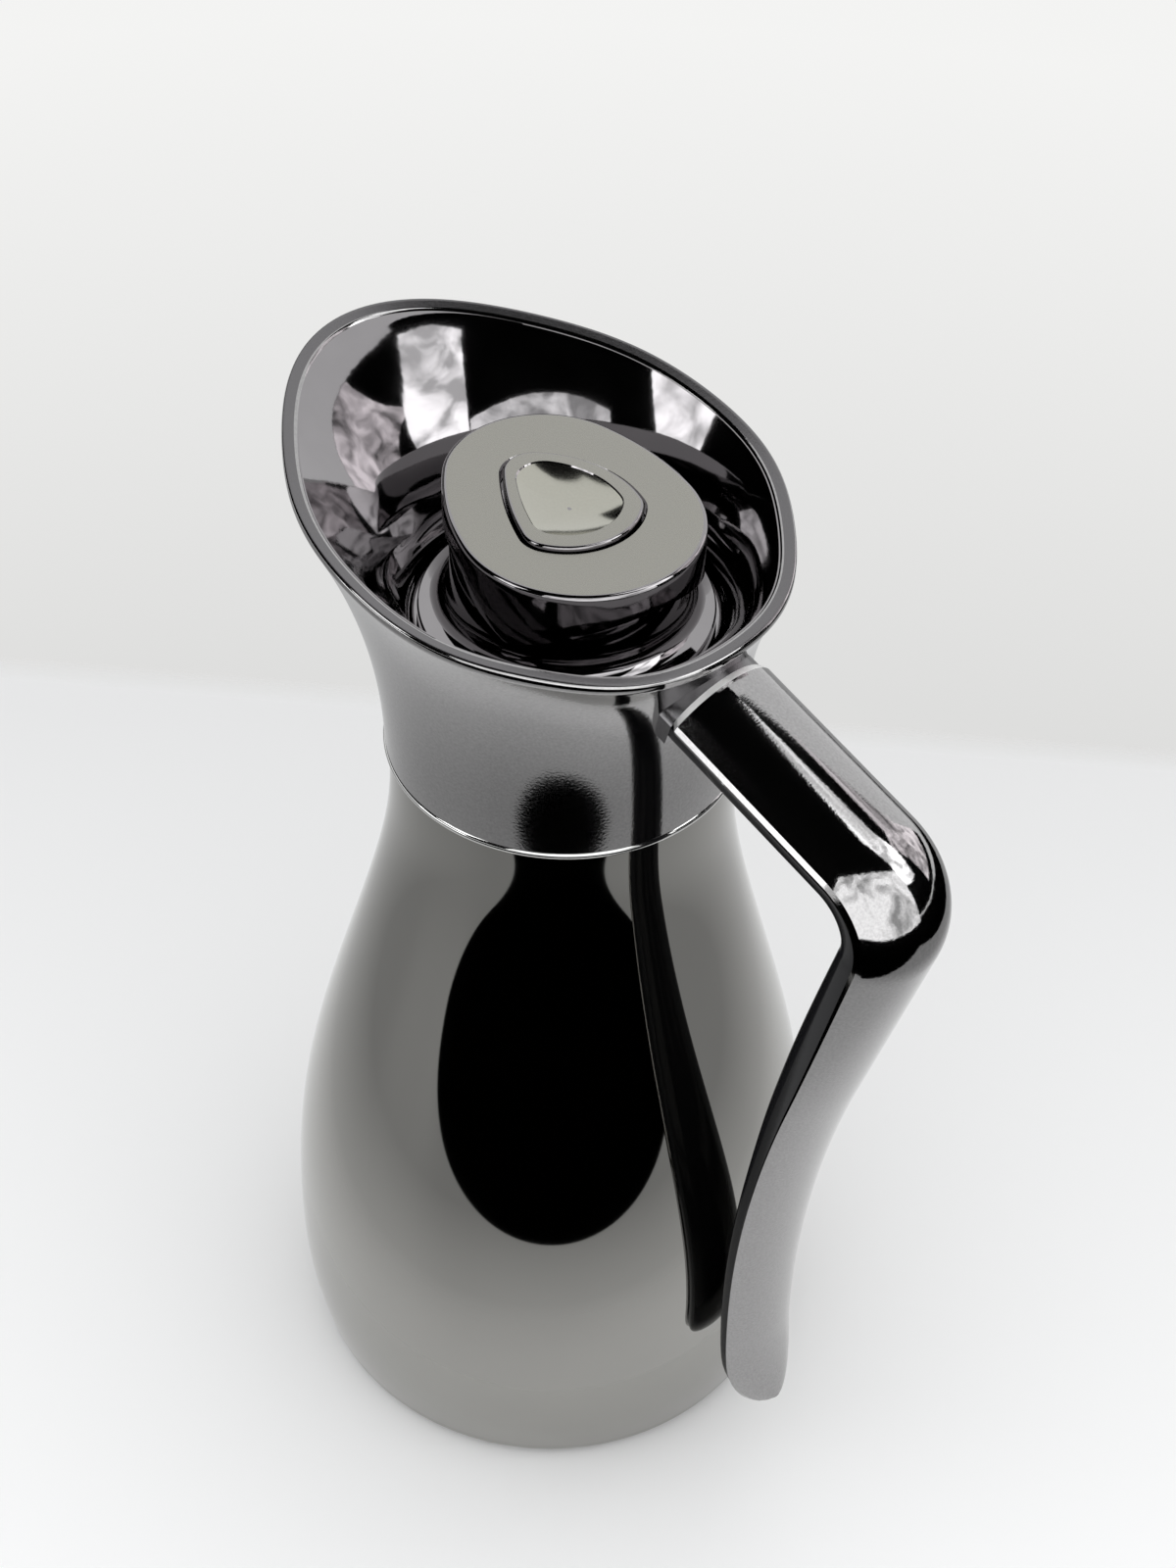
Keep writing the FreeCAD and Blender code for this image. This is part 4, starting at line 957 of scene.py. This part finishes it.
def dome(name, far, first, last, low, high, material):
    """Part of a sphere about the jug, from one direction to another and from low to high."""
    points, faces = [], []
    for rise in [math.radians(low + (high - low) * s) for s in steps(DOME_UPWARD)]:
        level = far * math.cos(rise)
        height = far * math.sin(rise) + RIM_Z * MM
        for turn in [math.radians(first + (last - first) * s) for s in steps(DOME_ACROSS)]:
            points.append((level * math.cos(turn), level * math.sin(turn), height))
    row = DOME_ACROSS + 1
    for j in range(DOME_UPWARD):
        for corner in range(j * row, j * row + DOME_ACROSS):
            faces.append((corner, corner + 1, corner + row + 1, corner + row))
    return sheet(name, points, material, faces)


def make_table():
    """Table with a slanted back edge, and the glowing ring that paints a dimmer table into its
    reflections.
    """
    spots = [(TABLE_FRONT, -TABLE_HALF), (TABLE_FRONT, TABLE_HALF)]
    spots += [(-TABLE_BACK + side * TABLE_TURN_SHARE, side) for side in (TABLE_HALF, -TABLE_HALF)]
    sheet("table", [TOWARDS * a + ASIDE * b for a, b in spots], table_material())
    ring = [(r * math.cos(a), r * math.sin(a), DIM_LIFT) for r in (DIM_NEAR, DIM_END) for a in turns()]
    links = [(i, (i + 1) % AROUND, AROUND + (i + 1) % AROUND, AROUND + i) for i in range(AROUND)]
    reflected_only(sheet("table_dim", ring, dim_material(), links))


def make_dark_cards():
    """Dark cards on the table and around the jug, seen only in reflections as painted dark reflections."""
    dark = matte_material("card_black", CARD_ROUGH)[0]
    front = level_sheet("dark_front", (CARD_FRONT, CARD_FAR), (-CARD_LEFT, CARD_RIGHT), CARD_LIFT, dark)
    reflected_only(front)
    side = level_sheet("dark_side", (-SIDE_BACK, CARD_FRONT), (SIDE_LEFT, CARD_RIGHT), CARD_LIFT, dark)
    reflected_only(side)
    for name, first, last, low, high in DARK_DOMES:
        reflected_only(dome(name, DOME_FAR, first, last, low, high, dark))


def make_bright_cards():
    """Bright clouds and cards around the jug that glow in reflections only: painted reflections and
    highlights.
    """
    cloud = cloud_material("cloud", CLOUD_COLOUR, CLOUD_SPAN, CLOUD_GLOWS)
    reflected_only(dome("cloud", CLOUD_FAR, *CLOUD_TURNS, *CLOUD_RISES, cloud))
    white = cloud_material("white_card", ROOM_COLOUR, WHITE_SPAN, WHITE_GLOWS)
    corners = standing_corners(WHITE_TURN, WHITE_FAR, WHITE_HALF, WHITE_HEIGHTS)
    reflected_only(sheet("white_card", corners, white))
    pane = cloud_material("window_pane", ROOM_COLOUR, WINDOW_SPAN, WINDOW_GLOWS)
    for name, turn, rise, lean, width, height in WINDOWS:
        corners = facing_corners(turn, rise, lean, WINDOW_FAR, width, height)
        reflected_only(sheet(name, corners, pane))


def make_world():
    """Room light, and a glowing wall behind the table that only the camera sees, with painted shade that
    makes it darker lower down.
    """
    world = bpy.data.worlds.new("studio")
    bpy.context.scene.world = world
    world.use_nodes = True
    tree = world.node_tree
    room = tree.nodes["Background"]
    room.inputs["Color"].default_value = ROOM_COLOUR
    room.inputs["Strength"].default_value = ROOM_GLOW
    wall = tree.nodes.new("ShaderNodeBackground")
    wall.inputs["Color"].default_value = WALL_COLOUR
    aim = tree.nodes.new("ShaderNodeTexCoord")
    parts = tree.nodes.new("ShaderNodeSeparateXYZ")
    tree.links.new(aim.outputs["Generated"], parts.inputs["Vector"])
    glow = map_range(tree, parts.outputs["Z"], WALL_RISES, WALL_GLOWS)
    tree.links.new(glow, wall.inputs["Strength"])
    ray = tree.nodes.new("ShaderNodeLightPath")
    choice = tree.nodes.new("ShaderNodeMixShader")
    tree.links.new(ray.outputs["Is Camera Ray"], choice.inputs["Fac"])
    tree.links.new(room.outputs["Background"], choice.inputs[1])
    tree.links.new(wall.outputs["Background"], choice.inputs[2])
    tree.links.new(choice.outputs["Shader"], tree.nodes["World Output"].inputs["Surface"])


make_table()
make_dark_cards()
make_bright_cards()
make_world()

# Camera at the photo's angle, its place in metres
CAMERA_PLACE = Vector((0.2762, -0.2668, 0.5538))
CAMERA_LENS = 54.0
CAMERA_SENSOR = 36.0
CAMERA_NEAR = 0.01
CAMERA_PITCH = math.radians(43.97)
CAMERA_YAW = math.radians(-45.11)
CAMERA_ROLL = math.radians(2.19)


def make_camera():
    """Camera that looks down at the jug, rolled a little."""
    data = bpy.data.cameras.new("camera")
    data.lens = CAMERA_LENS
    data.sensor_fit = "VERTICAL"
    data.sensor_height = CAMERA_SENSOR
    data.clip_start = CAMERA_NEAR
    camera = bpy.data.objects.new("camera", data)
    level = math.cos(CAMERA_PITCH)
    forward = Vector((math.sin(CAMERA_YAW) * level, math.cos(CAMERA_YAW) * level, -math.sin(CAMERA_PITCH)))
    right = forward.cross(Vector((0.0, 0.0, 1.0))).normalized()
    up = right.cross(forward)
    tilted_right = right * math.cos(CAMERA_ROLL) + up * math.sin(CAMERA_ROLL)
    tilted_up = up * math.cos(CAMERA_ROLL) - right * math.sin(CAMERA_ROLL)
    columns = Matrix((tilted_right, tilted_up, -forward)).transposed()
    camera.matrix_world = Matrix.Translation(CAMERA_PLACE) @ columns.to_4x4()
    bpy.context.scene.collection.objects.link(camera)
    bpy.context.scene.camera = camera


make_camera()
bpy.context.scene.view_settings.view_transform = "Standard"
